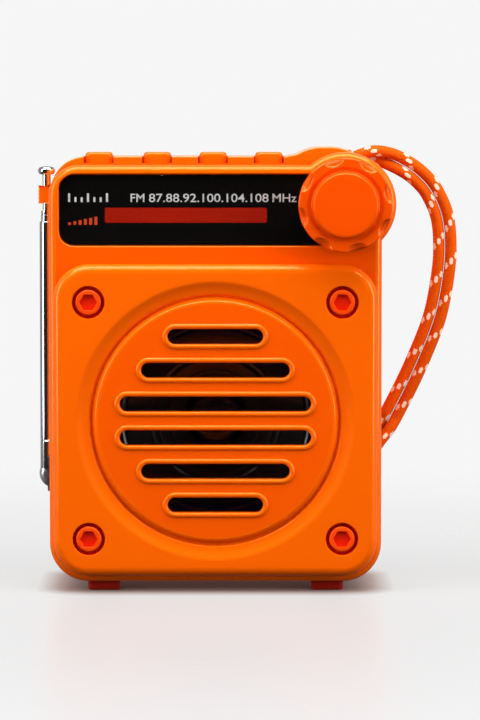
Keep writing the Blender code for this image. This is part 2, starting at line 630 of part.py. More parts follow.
def make_antenna():
    """Three telescopic sections on a pivot eye, held upright by a clip on the case."""
    base = (ANTENNA_X, ANTENNA_Y, 0)
    up = (0, 0, 1)
    outer = [(0, 47), (2.2, 47), (2.2, 122.8), (2.45, 122.8), (2.45, 37.5), (0, 37.5)]
    tube = turned("antenna_tube", [(r * MM, h * MM) for r, h in outer], base, up, CHROME, 20)
    half = 2.45 * MM
    fuse(tube, rod("antenna_eye", PIVOT_RADIUS, (PIVOT_X, ANTENNA_Y - half, PIVOT_Z),
                   (PIVOT_X, ANTENNA_Y + half, PIVOT_Z), sides=32))
    cut(tube, rod("eye_bore", 1.5 * MM, (PIVOT_X, ANTENNA_Y - 4 * MM, PIVOT_Z),
                  (PIVOT_X, ANTENNA_Y + 4 * MM, PIVOT_Z)))
    middle = [(0, 51), (1.65, 51), (1.65, 126.4), (1.95, 126.4), (1.95, 48), (0, 48)]
    turned("antenna_middle", [(r * MM, h * MM) for r, h in middle], base, up, CHROME, 20)
    inner = [(0, 140), (1.4, 140), (1.4, 52), (0, 52)]
    turned("antenna_rod", [(r * MM, h * MM) for r, h in inner], base, up, CHROME, 20)
    tip = [(0, 141.6), (2.3, 141.5), (2.9, 141), (2.9, 139.4), (2.5, 138.8), (1.7, 138.8),
           (1.7, 140.3), (0, 140.3)]
    turned("antenna_tip", [(r * MM, h * MM) for r, h in tip], base, up, CHROME, 24)


def make_antenna_mount():
    """A fork and pin in the side wall for the eye, and the clip near the tip."""
    back, tips = -48.3 * MM, -57.4 * MM
    low, high = ANTENNA_Y - 5.1 * MM, ANTENNA_Y + 5.1 * MM
    cheek = 2 * MM
    floor = back - 1.2 * MM
    outline = [(back, low), (back, high), (tips, high), (tips, high - cheek), (floor, high - cheek),
               (floor, low + cheek), (tips, low + cheek), (tips, low)]
    fork = slab("antenna_fork", [outline], 31 * MM, 42.4 * MM, STEEL, axis="Z")
    cut(fork, rod("fork_bore", 1.5 * MM, (PIVOT_X, 4 * MM, PIVOT_Z), (PIVOT_X, 20 * MM, PIVOT_Z)))
    rod("antenna_pin", 1.15 * MM, (PIVOT_X, low, PIVOT_Z), (PIVOT_X, high, PIVOT_Z), STEEL)
    back, tips, floor = -54.3 * MM, -60.3 * MM, -55.4 * MM
    half, slot = 3.5 * MM, 2.3 * MM
    outline = [(back, -half), (back, half), (tips, half), (tips, slot), (floor, slot),
               (floor, -slot), (tips, -slot), (tips, -half)]
    outline = [(x, ANTENNA_Y + y) for x, y in outline]
    slab("antenna_clip", [outline], 129 * MM, 135 * MM, CASE_ORANGE, axis="Z")


# --- Lanyard --------------------------------------------------------------------------------

def on_route(progress):
    """A point on the smooth Catmull-Rom curve through the route, for progress from 0 to 1."""
    points = [Vector((x, 0, z)) * MM for x, z in CORD_ROUTE]
    points = [2 * points[0] - points[1], *points, 2 * points[-1] - points[-2]]
    place_on = progress * (len(CORD_ROUTE) - 1)
    index = min(int(place_on), len(CORD_ROUTE) - 2)
    t = place_on - index
    a, b, c, d = points[index:index + 4]
    curve = 2 * b + (c - a) * t + (2 * a - 5 * b + 4 * c - d) * t**2 + (3 * b - a - 3 * c + d) * t**3
    return curve / 2 + Vector((0, CORD_Y, 0))


def strand_point(progress, side):
    """The strands lie side by side in the loop, and turn one behind the other at both ends."""
    step = 1e-3
    ahead = on_route(min(progress + step, 1)) - on_route(max(progress - step, 0))
    outward = Vector((-ahead.z, 0, ahead.x)).normalized()
    opened = min(1, progress / CORD_TWIST_TOP, (1 - progress) / (1 - CORD_TWIST_SIDE))
    turn = math.radians(90 * opened)
    offset = outward * math.sin(turn) - Vector((0, 1, 0)) * math.cos(turn)
    return on_route(progress) + offset * side * CORD_SPREAD


def make_lanyard():
    for number, side in enumerate((1, -1), 1):
        curve = bpy.data.curves.new(f"strap_strand_{number}", "CURVE")
        curve.dimensions = "3D"
        curve.bevel_depth = CORD_RADIUS
        curve.bevel_resolution = 2
        curve.use_fill_caps = True
        spline = curve.splines.new("POLY")
        spline.points.add(CORD_POINTS)
        for index, point in enumerate(spline.points):
            point.co = (*strand_point(index / CORD_POINTS, side), 1)
        strand = bpy.data.objects.new(f"strap_strand_{number}", curve)
        curve.materials.append(CORD)
        PARTS.objects.link(strand)
    top = rounded(CORD_Y - 4 * MM, CORD_Y + 4 * MM, 142.2 * MM, 147.2 * MM, 2 * MM, 3)
    slab("strap_ferrule_top", [top], 41.3 * MM, 46.3 * MM, RUBBER, axis="X")
    side = rounded(51.6 * MM, 56.6 * MM, CORD_Y - 4.1 * MM, CORD_Y + 4.1 * MM, 2 * MM, 3)
    slab("strap_ferrule_side", [side], 38.3 * MM, 44 * MM, RUBBER, axis="Z")


make_front_case()
make_seal()
make_rear_case()
make_feet()
make_case_screws()
make_battery_bay()
make_display()
make_encoder()
make_knob()
make_grille()
make_grille_screws()
make_speaker()
make_keys()
make_main_board()
make_antenna()
make_antenna_mount()
make_lanyard()
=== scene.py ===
"""Looks for the rugged emergency radio: fine pieces and procedural materials on the CAD frame.

Metres, +Z up, the radio's front faces -Y. Every piece stands where its CAD node stands.
"""

import math

import bmesh
import bpy
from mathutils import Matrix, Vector
from mathutils.geometry import tessellate_polygon


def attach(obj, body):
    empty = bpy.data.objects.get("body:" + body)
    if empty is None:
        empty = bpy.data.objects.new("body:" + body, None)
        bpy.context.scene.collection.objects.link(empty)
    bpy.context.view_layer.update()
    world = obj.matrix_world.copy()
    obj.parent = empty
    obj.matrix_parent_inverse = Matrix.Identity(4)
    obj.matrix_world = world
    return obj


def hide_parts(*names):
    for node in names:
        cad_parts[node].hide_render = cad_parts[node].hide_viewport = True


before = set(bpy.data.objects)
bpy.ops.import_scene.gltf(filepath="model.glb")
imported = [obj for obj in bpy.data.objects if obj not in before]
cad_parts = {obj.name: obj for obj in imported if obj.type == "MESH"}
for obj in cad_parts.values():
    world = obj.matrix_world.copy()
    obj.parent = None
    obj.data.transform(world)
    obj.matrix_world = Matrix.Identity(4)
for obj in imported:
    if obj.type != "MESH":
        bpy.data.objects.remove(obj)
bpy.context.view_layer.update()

MM = 0.001


def mm(*values):
    return [value * MM for value in values]


# Case
HALF_WIDTH = 55.5 * MM
CASE_BOTTOM = 3.1 * MM
FRONT_TOP = 142.4 * MM
REAR_TOP = 145.2 * MM
FRONT_TOP_RADIUS = 10 * MM
REAR_TOP_RADIUS = 12 * MM
BOTTOM_RADIUS = 13 * MM
SIDE_WALL = 3 * MM
HOLLOW_RADIUS = 9 * MM
KNOB_SIDE_RADIUS = 22 * MM
FRONT_Y = -19 * MM
FRONT_FLOOR_Y = -15.5 * MM
FRONT_BACK_Y = -6.6 * MM
REAR_FRONT_Y = -5.0 * MM
BACK_Y = 33 * MM
FRONT_EDGE = 2.4 * MM
REAR_EDGE = 3.5 * MM

# Knob corner
KNOB_X = 43 * MM
KNOB_Z = 129.4 * MM
EAR_RADIUS = 17.3 * MM
MOUND_X = 36 * MM
MOUND_RIGHT_X = 38.5 * MM
MOUND_Z = 131.3 * MM
MOUND_RADIUS = 17 * MM
MOUND_FOOT_X = 23.5 * MM
KNOB_RADIUS = 15.5 * MM
COLLAR_OPENING = 4.8 * MM
KNOB_SIDES = 320
KNOB_BORE_Y = -29.4 * MM
SCALLOPS = 8
SCALLOP_PHASE = 15
SCALLOP_HALF_LENGTH = 3.4
SCALLOP_FRONT = 2.2
SCALLOP_SIDE = 2.6
SCALLOP_DEPTH = 1.25

# Display
LENS_HALF = 51.8 * MM
LENS_LOW = 115.9 * MM
LENS_HIGH = 139.2 * MM
LENS_RADIUS = 4.7 * MM
POCKET_FLOOR_Y = -16.7 * MM
DIAL_Y = -17.6 * MM
CAPITAL_HEIGHT = 0.73  # of the font's size
BAR_LEFT = -36.8 * MM
BAR_RIGHT = 17.2 * MM
BAR_LOW = 123.3 * MM
BAR_HIGH = 128.3 * MM

# Grille
GRILLE_HALF = 54 * MM
GRILLE_LOW = 5.35 * MM
GRILLE_HIGH = 109.65 * MM
GRILLE_Z = 57.5 * MM
GRILLE_RADIUS = 12 * MM
GRILLE_EDGE = 3.0 * MM
GRILLE_FRONT_Y = -23.3 * MM
GRILLE_BACK_Y = -19.3 * MM
SPEAKER_OPENING = 41.2 * MM
SLOT_LENGTHS = [31.8 * MM, 49.5 * MM, 63.8 * MM, 63.8 * MM, 49.5 * MM, 31.8 * MM]
SLOT_PITCH = 11.25 * MM
SLOT_HEIGHT = 5 * MM
GRILLE_SCREW_X = 42.2 * MM
GRILLE_SCREW_DZ = 39.5 * MM
RECESS_RADIUS = 5.4 * MM

# Keys
KEY_XS = [-39.3 * MM, -19.7 * MM, -0.9 * MM, 17.9 * MM]
KEY_Y = 2.5 * MM
KEY_HALF_X = 4.6 * MM
KEY_HALF_Y = 5 * MM
KEY_TOP = 146.6 * MM
KEY_NOTCH_Z = 142.9 * MM
KEY_MOUTH_GAP = 0.3 * MM
KEY_NOTCH_GAP = 0.4 * MM

# Antenna
ANTENNA_X = -57.7 * MM
ANTENNA_Y = 12 * MM
PIVOT_X = -55.4 * MM
PIVOT_Z = 36.7 * MM

# Strap
BRAID_RADIUS = 2.04 * MM
CORD_SPREAD = 2.05 * MM
CORD_Y = 14 * MM
CORD_TWIST_TOP = 0.22
CORD_TWIST_SIDE = 0.86
CORD_ROUTE = [
    (47.4, 144.8), (50.6, 145.3), (54.4, 145.4), (58.0, 144.5), (62.0, 142.9), (66.8, 140.1),
    (70.5, 136.9), (73.6, 133.0), (76.6, 126.6), (77.9, 120.4), (78.2, 112.2), (77.6, 105.0),
    (76.3, 96.8), (74.6, 89.6), (71.7, 81.6), (66.6, 69.8), (61.2, 58.9), (58.3, 53.4),
    (56.0, 49.2), (54.5, 45.4),
]
BRAID_PITCH = 0.55 * MM
FLECK_SPACING = 13 * MM
FLECKS_A_TURN = 7
FLECK_LENGTH = 1.15 * MM
FLECK_WIDTH = 0.4
BRAID_STRANDS = 8
BRAID_SIDES = 40
BRAID_DEPTH = 0.17 * MM

# Plastics
WARM_GLOSS = (1.0, 0.5, 0.14, 1.0)
GRAIN_HEIGHT = 0.02 * MM
FLOW_TONE = 0.015
FLOW_GLOSS = 0.02

# Studio
STUDIO_WHITE = (0.925, 0.925, 0.925)
AMBIENT = 0.1
MIRRORED_WALLS = [  # from far in front of the radio (-Y) to far behind it (+Y)
    (0.15, (0.02, 0.02, 0.02)), (0.42, (0.22, 0.22, 0.22)), (0.975, (0.3, 0.3, 0.3)),
    (0.988, STUDIO_WHITE),
]
FLOOR_ALBEDO = (0.12, 0.12, 0.12)
FLOOR_GLOW = (0.64, 0.64, 0.64)
# The next two colours darken the floor's glow close under the radio: a painted contact shadow, tinted
# red-brown as painted bounce light from the orange case.
FLOOR_HALF_SHADOW = (0.3, 0.2, 0.17)
FLOOR_SHADE = (0.012, 0.0005, 0.0)
FLOOR_SHADE_REACH = 0.011
FLOOR_POLISH = 0.16
FLOOR_FADE = (0.1, 0.42)
LIGHTS_AIM = (0, 0, 0.075)
SOFTBOXES = [  # name, place, width, height, watts, seen in reflections
    ("softbox_top", (0, -0.16, 0.85), 1.0, 0.4, 9.0, True),
    ("panel_left", (-0.9, -0.36, 0.32), 0.95, 0.8, 6.2, False),
    ("strip_left", (-0.9, -0.38, 0.3), 0.28, 0.7, 3.6, True),
    ("corner_left", (-0.6, -0.62, 0.85), 0.3, 0.26, 1.5, True),
    ("panel_right", (0.9, -0.36, 0.32), 0.95, 0.8, 6.2, False),
    ("strip_right", (0.9, -0.38, 0.3), 0.28, 0.7, 3.6, True),
    ("corner_right", (0.6, -0.62, 0.85), 0.3, 0.26, 1.5, True),
    ("softbox_back", (0, 0.95, 0.6), 0.8, 0.5, 9.0, False),
    ("strip_front", (0, -0.5, 0.85), 0.9, 0.05, 2.6, True),
]

# Camera
CAMERA_AT = (0.0082, -1.216, 0.1613)
CAMERA_AIM = (0.0082, -0.019, 0.0776)
CAMERA_LENS = 180


# --- Outlines, as lists of (x, z) points in metres ---

def arc(centre, radius, start, end, steps):
    """Points on an arc, angles in degrees, both ends included."""
    angles = [math.radians(start + (end - start) * i / steps) for i in range(steps + 1)]
    return [(centre[0] + radius * math.cos(a), centre[1] + radius * math.sin(a)) for a in angles]


def circle(centre, radius, steps, start=0):
    return arc(centre, radius, start, start + 360, steps)[:-1]


def lower_corners(left, right, low, radius, steps):
    points = arc((left + radius, low + radius), radius, 180, 270, steps)
    return points + arc((right - radius, low + radius), radius, 270, 360, steps)


def rounded(left, right, low, high, radius, steps=8):
    points = lower_corners(left, right, low, radius, steps)
    points += arc((right - radius, high - radius), radius, 0, 90, steps)
    return points + arc((left + radius, high - radius), radius, 90, 180, steps)


def stadium(centre, length, height, steps=12):
    """A slot with round ends."""
    radius = height / 2
    reach = length / 2 - radius
    points = arc((centre[0] + reach, centre[1]), radius, -90, 90, steps)
    return points + arc((centre[0] - reach, centre[1]), radius, 90, 270, steps)


def inset(points, distance):
    """The same outline drawn in by a distance; it runs anticlockwise."""
    moved = []
    for index, point in enumerate(points):
        before = (Vector(points[index - 1]) - Vector(point)).normalized()
        after = (Vector(points[(index + 1) % len(points)]) - Vector(point)).normalized()
        along = (after - before).normalized()
        inward = Vector((-along.y, along.x))
        half = math.sqrt(max(0.25, (1 - before.dot(after)) / 2))
        moved.append(tuple(Vector(point) + inward * distance / half))
    return moved


def case_outline(right, top, radius):
    """Half of the case: its lower corners, the points up its right side, and its top left corner."""
    points = lower_corners(-HALF_WIDTH, HALF_WIDTH, CASE_BOTTOM, BOTTOM_RADIUS, 14) + right
    return points + arc((-HALF_WIDTH + radius, top - radius), radius, 90, 180, 14)


def front_outline():
    """The front case: a rounded rectangle with a round ear around the knob."""
    reach_x = math.sqrt(EAR_RADIUS**2 - (FRONT_TOP - KNOB_Z)**2)
    reach_z = math.sqrt(EAR_RADIUS**2 - (HALF_WIDTH - KNOB_X)**2)
    low = math.degrees(math.atan2(-reach_z, HALF_WIDTH - KNOB_X))
    high = math.degrees(math.atan2(FRONT_TOP - KNOB_Z, -reach_x))
    ear = arc((KNOB_X, KNOB_Z), EAR_RADIUS, low, high, 36)
    return case_outline(ear, FRONT_TOP, FRONT_TOP_RADIUS)


def rear_outline():
    """The rear case: its top rises in a mound behind the knob."""
    drop = REAR_TOP - MOUND_Z
    start = math.degrees(math.atan2(drop, -math.sqrt(MOUND_RADIUS**2 - drop**2)))
    mound = arc((MOUND_RIGHT_X, MOUND_Z), MOUND_RADIUS, 0, 90, 18)
    mound += arc((MOUND_X, MOUND_Z), MOUND_RADIUS, 90, start, 8)[1:-1]
    return case_outline(mound + [(MOUND_FOOT_X, REAR_TOP)], REAR_TOP, REAR_TOP_RADIUS)


def rear_hollow():
    """The inside of the rear case, drawn in where the wall carries the antenna and the cord."""
    inner = HALF_WIDTH - SIDE_WALL
    low, high = CASE_BOTTOM + SIDE_WALL, REAR_TOP - SIDE_WALL
    points = lower_corners(-inner, inner, low, HOLLOW_RADIUS, 5)
    points += [(inner, 31 * MM), mm(48.5, 35), mm(48.5, 60), (inner, 64 * MM)]
    points += arc((inner - KNOB_SIDE_RADIUS, high - KNOB_SIDE_RADIUS), KNOB_SIDE_RADIUS, 0, 90, 6)
    points += arc((-inner + HOLLOW_RADIUS, high - HOLLOW_RADIUS), HOLLOW_RADIUS, 90, 180, 5)
    return points + [(-inner, 52 * MM), mm(-46.5, 46), mm(-46.5, 26), (-inner, 20 * MM)]


def seal_outline(distance):
    """The split line: the front case's outline, held inside the rear case's mound and side."""
    held = []
    for x, z in inset(front_outline(), distance):
        x = min(x, HALF_WIDTH - distance)
        reach = Vector((x - MOUND_RIGHT_X, z - MOUND_Z))
        if reach.x > 0 and reach.y > 0 and reach.length > MOUND_RADIUS - distance:
            reach = reach.normalized() * (MOUND_RADIUS - distance)
            x, z = MOUND_RIGHT_X + reach.x, MOUND_Z + reach.y
        held.append((x, z))
    return held


# --- Meshes ---

class Shell:
    """Rings of points skinned together; a ring is an outline set at one height of one axis."""

    def __init__(self, axis="Y"):
        self.bm = bmesh.new()
        self.axis = axis

    def ring(self, outline, height):
        at = "XYZ".index(self.axis)
        return [self.bm.verts.new((*point[:at], height, *point[at:])) for point in outline]

    def wall(self, outline, *heights):
        """One outline skinned through several heights."""
        return self.chain([self.ring(outline, height) for height in heights])

    def rim(self, outline, edge, steps, face, out, order=1):
        """The rings of a rounded rim that meets a face; out is 1 or -1, order -1 starts there."""
        return [self.ring(inset(outline, drawn_in), face - out * edge + out * rise)
                for drawn_in, rise in quarter(edge, steps)[::order]]

    def skin(self, first, second, index=0):
        count = len(first)
        for i in range(count):
            following = (i + 1) % count
            face = self.bm.faces.new((first[i], first[following], second[following], second[i]))
            face.material_index = index

    def chain(self, rings):
        for first, second in zip(rings, rings[1:]):
            self.skin(first, second)
        return rings

    def close(self, rings):
        """Skin the rings and cap both ends."""
        self.chain(rings)
        self.cap(rings[0])
        self.cap(rings[-1])

    def cap(self, *rings, index=0):
        """A flat face inside the first ring, with the other rings as holes."""
        verts = [vert for ring in rings for vert in ring]
        for triangle in tessellate_polygon([[vert.co for vert in ring] for ring in rings]):
            corners = [verts[i] for i in triangle]
            if len(set(corners)) == 3:
                try:
                    self.bm.faces.new(corners).material_index = index
                except ValueError:
                    pass

    def mesh(self, name):
        bmesh.ops.remove_doubles(self.bm, verts=self.bm.verts, dist=1e-7)
        return finished(self.bm, name)


def finished(bm, name):
    """Turn every face outward and make the mesh."""
    bmesh.ops.recalc_face_normals(bm, faces=bm.faces)
    mesh = bpy.data.meshes.new(name)
    bm.to_mesh(mesh)
    bm.free()
    return mesh


def quarter(radius, steps):
    """(inset, rise) pairs of a rounded edge, from the wall round to the face."""
    if radius == 0:
        return [(0, 0)]
    angles = [math.radians(90 * i / steps) for i in range(steps + 1)]
    return [(radius * (1 - math.cos(a)), radius * math.sin(a)) for a in angles]


def add_object(name, data):
    obj = bpy.data.objects.new(name, data)
    bpy.context.scene.collection.objects.link(obj)
    return obj


def piece(mesh, body, slot, looks, nodes=(), angle=32, weighted=True):
    """Finish a mesh as one visible piece that stands for CAD nodes; looks names its materials."""
    obj = add_object(mesh.name, mesh)
    for look in looks if isinstance(looks, list) else [looks]:
        mesh.materials.append(LOOKS[look])
    mesh.shade_smooth()
    mesh.set_sharp_from_angle(angle=math.radians(angle))
    if weighted:
        normals = obj.modifiers.new("normals", "WEIGHTED_NORMAL")
        normals.keep_sharp = True
        normals.weight = 60
    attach(obj, body)
    if nodes:
        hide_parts(*nodes)
    return obj


def on_case(mesh, *rest, **options):
    return piece(mesh, "case", *rest, **options)


def prism(name, outline, low, high, axis="Y", edge=0.4 * MM, low_edge=None, steps=4):
    """A plate with rounded rims: edge at its high face, low_edge at its low one."""
    low_edge = edge if low_edge is None else low_edge
    shell = Shell(axis)
    rings = shell.rim(outline, low_edge, steps, low, -1, -1)
    shell.close(rings + shell.rim(outline, edge, steps, high, 1))
    return shell.mesh(name)


def lathe(name, profile, origin, direction, sides=64, closed=False):
    """A turned mesh: profile holds (radius, height) pairs in millimetres, height along direction."""
    bm = bmesh.new()
    turn = Vector(direction).to_track_quat("Z", "Y")
    origin = Vector(origin)
    rings = []
    for radius, height in profile:
        angles = [2 * math.pi * side / sides for side in range(sides)] if radius else [0]
        rings.append([bm.verts.new(origin + turn @ Vector(
            (radius * MM * math.cos(a), radius * MM * math.sin(a), height * MM))) for a in angles])
    pairs = list(zip(rings, rings[1:]))
    if closed:
        pairs.append((rings[-1], rings[0]))
    for first, second in pairs:
        join_rings(bm, first, second)
    return finished(bm, name)


def join_rings(bm, first, second):
    """Faces between two rings; a ring of one point makes a fan."""
    count = max(len(first), len(second))
    for i in range(count if count > 1 else 0):
        following = (i + 1) % count
        if len(first) == 1:
            bm.faces.new((first[0], second[following], second[i]))
        elif len(second) == 1:
            bm.faces.new((first[i], first[following], second[0]))
        else:
            bm.faces.new((first[i], first[following], second[following], second[i]))


def evaluated_mesh(obj):
    bpy.context.view_layer.update()
    evaluated = obj.evaluated_get(bpy.context.evaluated_depsgraph_get())
    return bpy.data.meshes.new_from_object(evaluated)


def cut(mesh, cutters):
    """Take other closed meshes out of a mesh, and return the result."""
    name = mesh.name
    solid = add_object(name + "_solid", mesh)
    tools = [add_object(cutter.name, cutter) for cutter in cutters]
    for tool in tools:
        boolean = solid.modifiers.new(tool.name, "BOOLEAN")
        boolean.operation = "DIFFERENCE"
        boolean.solver = "EXACT"
        boolean.object = tool
    result = evaluated_mesh(solid)
    for obj in (solid, *tools):
        old = obj.data
        bpy.data.objects.remove(obj)
        bpy.data.meshes.remove(old)
    result.name = name
    return result


# --- Materials ---

def feed(node, inputs):
    """Set a node's inputs, by name or number, or link them from a socket or a node's first output."""
    for key, value in inputs.items():
        if isinstance(value, bpy.types.Node):
            value = value.outputs[0]
        if isinstance(value, bpy.types.NodeSocket):
            node.id_data.links.new(value, node.inputs[key])
        else:
            node.inputs[key].default_value = value


def add_node(tree, kind, inputs=None):
    node = tree.nodes.new("ShaderNode" + kind)
    feed(node, inputs or {})
    return node


def add_ramp(tree, source, stops):
    """A colour ramp through (position, colour) stops."""
    ramp = add_node(tree, "ValToRGB", {"Fac": source})
    elements = ramp.color_ramp.elements
    while len(elements) < len(stops):
        elements.new(0.5)
    for element, (position, colour) in zip(elements, stops):
        element.position = position
        element.color = (*colour, 1)
    return ramp


def object_place(tree):
    return add_node(tree, "TexCoord").outputs["Object"]


def new_material(name, colour, roughness, inputs=None):
    mat = bpy.data.materials.new(name)
    mat.use_nodes = True
    shader = mat.node_tree.nodes["Principled BSDF"]
    feed(shader, {"Base Color": (*colour, 1), "Roughness": roughness, **(inputs or {})})
    return mat, shader


def add_noise(shader, scale, detail=2.0, distortion=0.0):
    """A noise value in the object's own coordinates, in cycles per metre."""
    tree = shader.id_data
    return add_node(tree, "TexNoise", {"Vector": object_place(tree), "Scale": scale,
                                       "Detail": detail, "Distortion": distortion})


def vary_roughness(shader, source, low, high):
    span = {"Value": source, "From Min": 0.3, "From Max": 0.7, "To Min": low, "To Max": high}
    feed(shader, {"Roughness": add_node(shader.id_data, "MapRange", span)})


def vary_colour(shader, source, dark, light):
    feed(shader, {"Base Color": add_ramp(shader.id_data, source, [(0.3, dark), (0.7, light)])})


def add_bump(shader, source, strength, height=GRAIN_HEIGHT):
    bump = {"Height": source, "Strength": strength, "Distance": height}
    feed(shader, {"Normal": add_node(shader.id_data, "Bump", bump)})


def scaled(colour, factor):
    return tuple(min(1, c * factor) for c in colour)


def moulded(name, colour, roughness, inputs=None, grain=2600, depth=0.12):
    """Moulded plastic: faint flow marks in colour and gloss, and a fine spark-eroded grain."""
    mat, shader = new_material(name, colour, roughness, inputs)
    flow = add_noise(shader, 11, 2.0, 0.3)
    vary_colour(shader, flow, scaled(colour, 1 - FLOW_TONE), scaled(colour, 1 + FLOW_TONE))
    vary_roughness(shader, add_noise(shader, 240), roughness - FLOW_GLOSS, roughness + FLOW_GLOSS)
    add_bump(shader, add_noise(shader, grain), depth)
    return mat


def brushed(name, colour, roughness, along=(1, 1, 0.02), grain=5000, depth=0.1):
    """Metal with fine lines drawn along one axis."""
    mat, shader = new_material(name, colour, roughness, {"Metallic": 1.0})
    tree = mat.node_tree
    stretch = add_node(tree, "Mapping", {"Vector": object_place(tree), "Scale": along})
    lines = add_node(tree, "TexNoise", {"Vector": stretch, "Scale": grain})
    vary_roughness(shader, lines, roughness * 0.8, roughness * 1.25)
    add_bump(shader, lines, depth, 0.01 * MM)
    return mat


def make_materials():
    level = "Specular IOR Level"
    warm = {"Specular Tint": WARM_GLOSS}
    glossy = {**warm, level: 0.9}
    coated = {**glossy, "Coat Weight": 0.06, "Coat Roughness": 0.05}
    return {
        "case": moulded("case_plastic", (0.92, 0.12, 0.0006), 0.17, coated),
        # The bezel look is the case colour made darker and redder for the front case's flat face
        # only: a painted shade. Its rims keep the case colour.
        "painted_shade_bezel": moulded("bezel_plastic_painted_shade", (0.9, 0.088, 0.0005), 0.17, glossy),
        # The dish look is the case colour made darker for the flat disc between the slots: a painted
        # shade of the recessed disc.
        "dish": moulded("dish_plastic_painted_shade", (0.89, 0.092, 0.0005), 0.17, glossy),
        "knob": moulded("knob_plastic", (0.86, 0.073, 0.0004), 0.17, coated),
        "screw": moulded("screw_paint", (0.88, 0.062, 0.002), 0.28, warm, 3600, 0.2),
        # The recess look is a deep red painted shade on the walls and floors of the screw seats and
        # on the plate screws' hex sockets, not a part of its own.
        "recess_shade": moulded("recess_red_painted_shade", (0.8, 0.011, 0.0006), 0.5, warm),
        # The foot colour is red rubber made much darker than the case orange: partly the rubber's own
        # colour, partly painted shade from under the case.
        "foot": moulded("foot_rubber_red_painted_shade", (0.3, 0.008, 0.0006), 0.6, {level: 0.1}, 1800, 0.3),
        "rubber": moulded("seal_rubber_black", (0.018, 0.016, 0.015), 0.7, None, 1600, 0.5),
        "ferrule": moulded("ferrule_rubber", (0.75, 0.075, 0.004), 0.5, None, 1600, 0.4),
        "black": moulded("black_moulding", (0.006, 0.005, 0.004), 0.42, {level: 0.2}, 2400),
        "dial": moulded("dial_print_black", (0.0016, 0.0012, 0.001), 0.6, {level: 0.08}, 3000, 0.1),
        "board": make_board_material(),
        "cell": moulded("battery_sleeve", (0.05, 0.12, 0.35), 0.35, None, 900, 0.3),
        "paper": grained("coated_paper", (0.004, 0.004, 0.004), 0.24, {level: 0.6}, (1400, 3.0),
                         ((0.003, 0.003, 0.003), (0.006, 0.0055, 0.0055)), 0.1),
        "chrome": brushed("antenna_chrome", (0.86, 0.86, 0.88), 0.07),
        "satin": brushed("pivot_satin", (0.82, 0.82, 0.84), 0.32),
        "steel": brushed("zinc_steel", (0.55, 0.55, 0.57), 0.3, (1, 1, 0.2), 3000, 0.3),
        "lens": make_lens_material(),
        "bar": make_bar_material(),
        "print": make_ink("dial_print_white", (0.86, 0.86, 0.86)),
        "red_print": make_ink("dial_print_red", (0.85, 0.075, 0.01)),
        "cord": make_yarn("braid_orange", (0.9, 0.12, 0.0006), (0.5, 0.035, 0.0003)),
        "fleck": make_yarn("braid_pale", (0.95, 0.78, 0.62), (0.88, 0.55, 0.36)),
    }


def make_board_material():
    """Solder mask over copper: green, with lighter tracks."""
    mat, shader = new_material("solder_mask", (0.01, 0.12, 0.04), 0.32)
    tracks = add_node(mat.node_tree, "TexBrick", {
        "Vector": object_place(mat.node_tree), "Scale": 160, "Mortar Size": 0.03,
        "Color1": (0.006, 0.09, 0.03, 1), "Color2": (0.008, 0.12, 0.04, 1),
        "Mortar": (0.03, 0.25, 0.09, 1)})
    feed(shader, {"Base Color": tracks})
    add_bump(shader, tracks.outputs["Fac"], 0.4, 0.03 * MM)
    return mat


def make_lens_material():
    """Smoked polycarbonate over the dial, with faint polishing marks."""
    mat, shader = new_material("smoked_lens", (0.004, 0.003, 0.002), 0.06,
                               {"Alpha": 0.14, "Specular IOR Level": 0.15})
    vary_roughness(shader, add_noise(shader, 500), 0.04, 0.1)
    add_bump(shader, add_noise(shader, 60, 1.0), 0.05)
    return mat


def make_bar_material():
    """Red light guide: a little darker in streaks along the scale."""
    mat, shader = new_material("red_guide", (0.5, 0.012, 0.001), 0.3)
    vary_colour(shader, add_noise(shader, 90), (0.48, 0.011, 0.001), (0.56, 0.015, 0.001))
    add_bump(shader, add_noise(shader, 900), 0.1)
    return mat


def grained(name, colour, roughness, inputs, noise, tones, depth, height=GRAIN_HEIGHT):
    """One noise shades the colour between two tones and raises a grain: paper, ink and yarn."""
    mat, shader = new_material(name, colour, roughness, inputs)
    grain = add_noise(shader, *noise)
    vary_colour(shader, grain, *tones)
    add_bump(shader, grain, depth, height)
    return mat


def make_ink(name, colour):
    tones = scaled(colour, 0.85), scaled(colour, 1.1)
    return grained(name, colour, 0.5, None, (900, 3.0), tones, 0.2)


def make_yarn(name, light, dark):
    gloss = {"Specular Tint": WARM_GLOSS, "Specular IOR Level": 0.25}
    return grained(name, light, 0.62, gloss, (3800, 3.0, 2.0), (dark, light), 0.5, 0.08 * MM)


LOOKS = make_materials()


# --- Camera, floor and lights ---

def look_at(obj, place, aim):
    obj.location = place
    obj.rotation_euler = (Vector(aim) - Vector(place)).to_track_quat("-Z", "Y").to_euler()


def make_camera():
    camera = add_object("camera", bpy.data.cameras.new("camera"))
    camera.data.lens = CAMERA_LENS
    camera.data.clip_start = 0.01
    camera.data.clip_end = 20
    look_at(camera, CAMERA_AT, CAMERA_AIM)
    bpy.context.scene.camera = camera


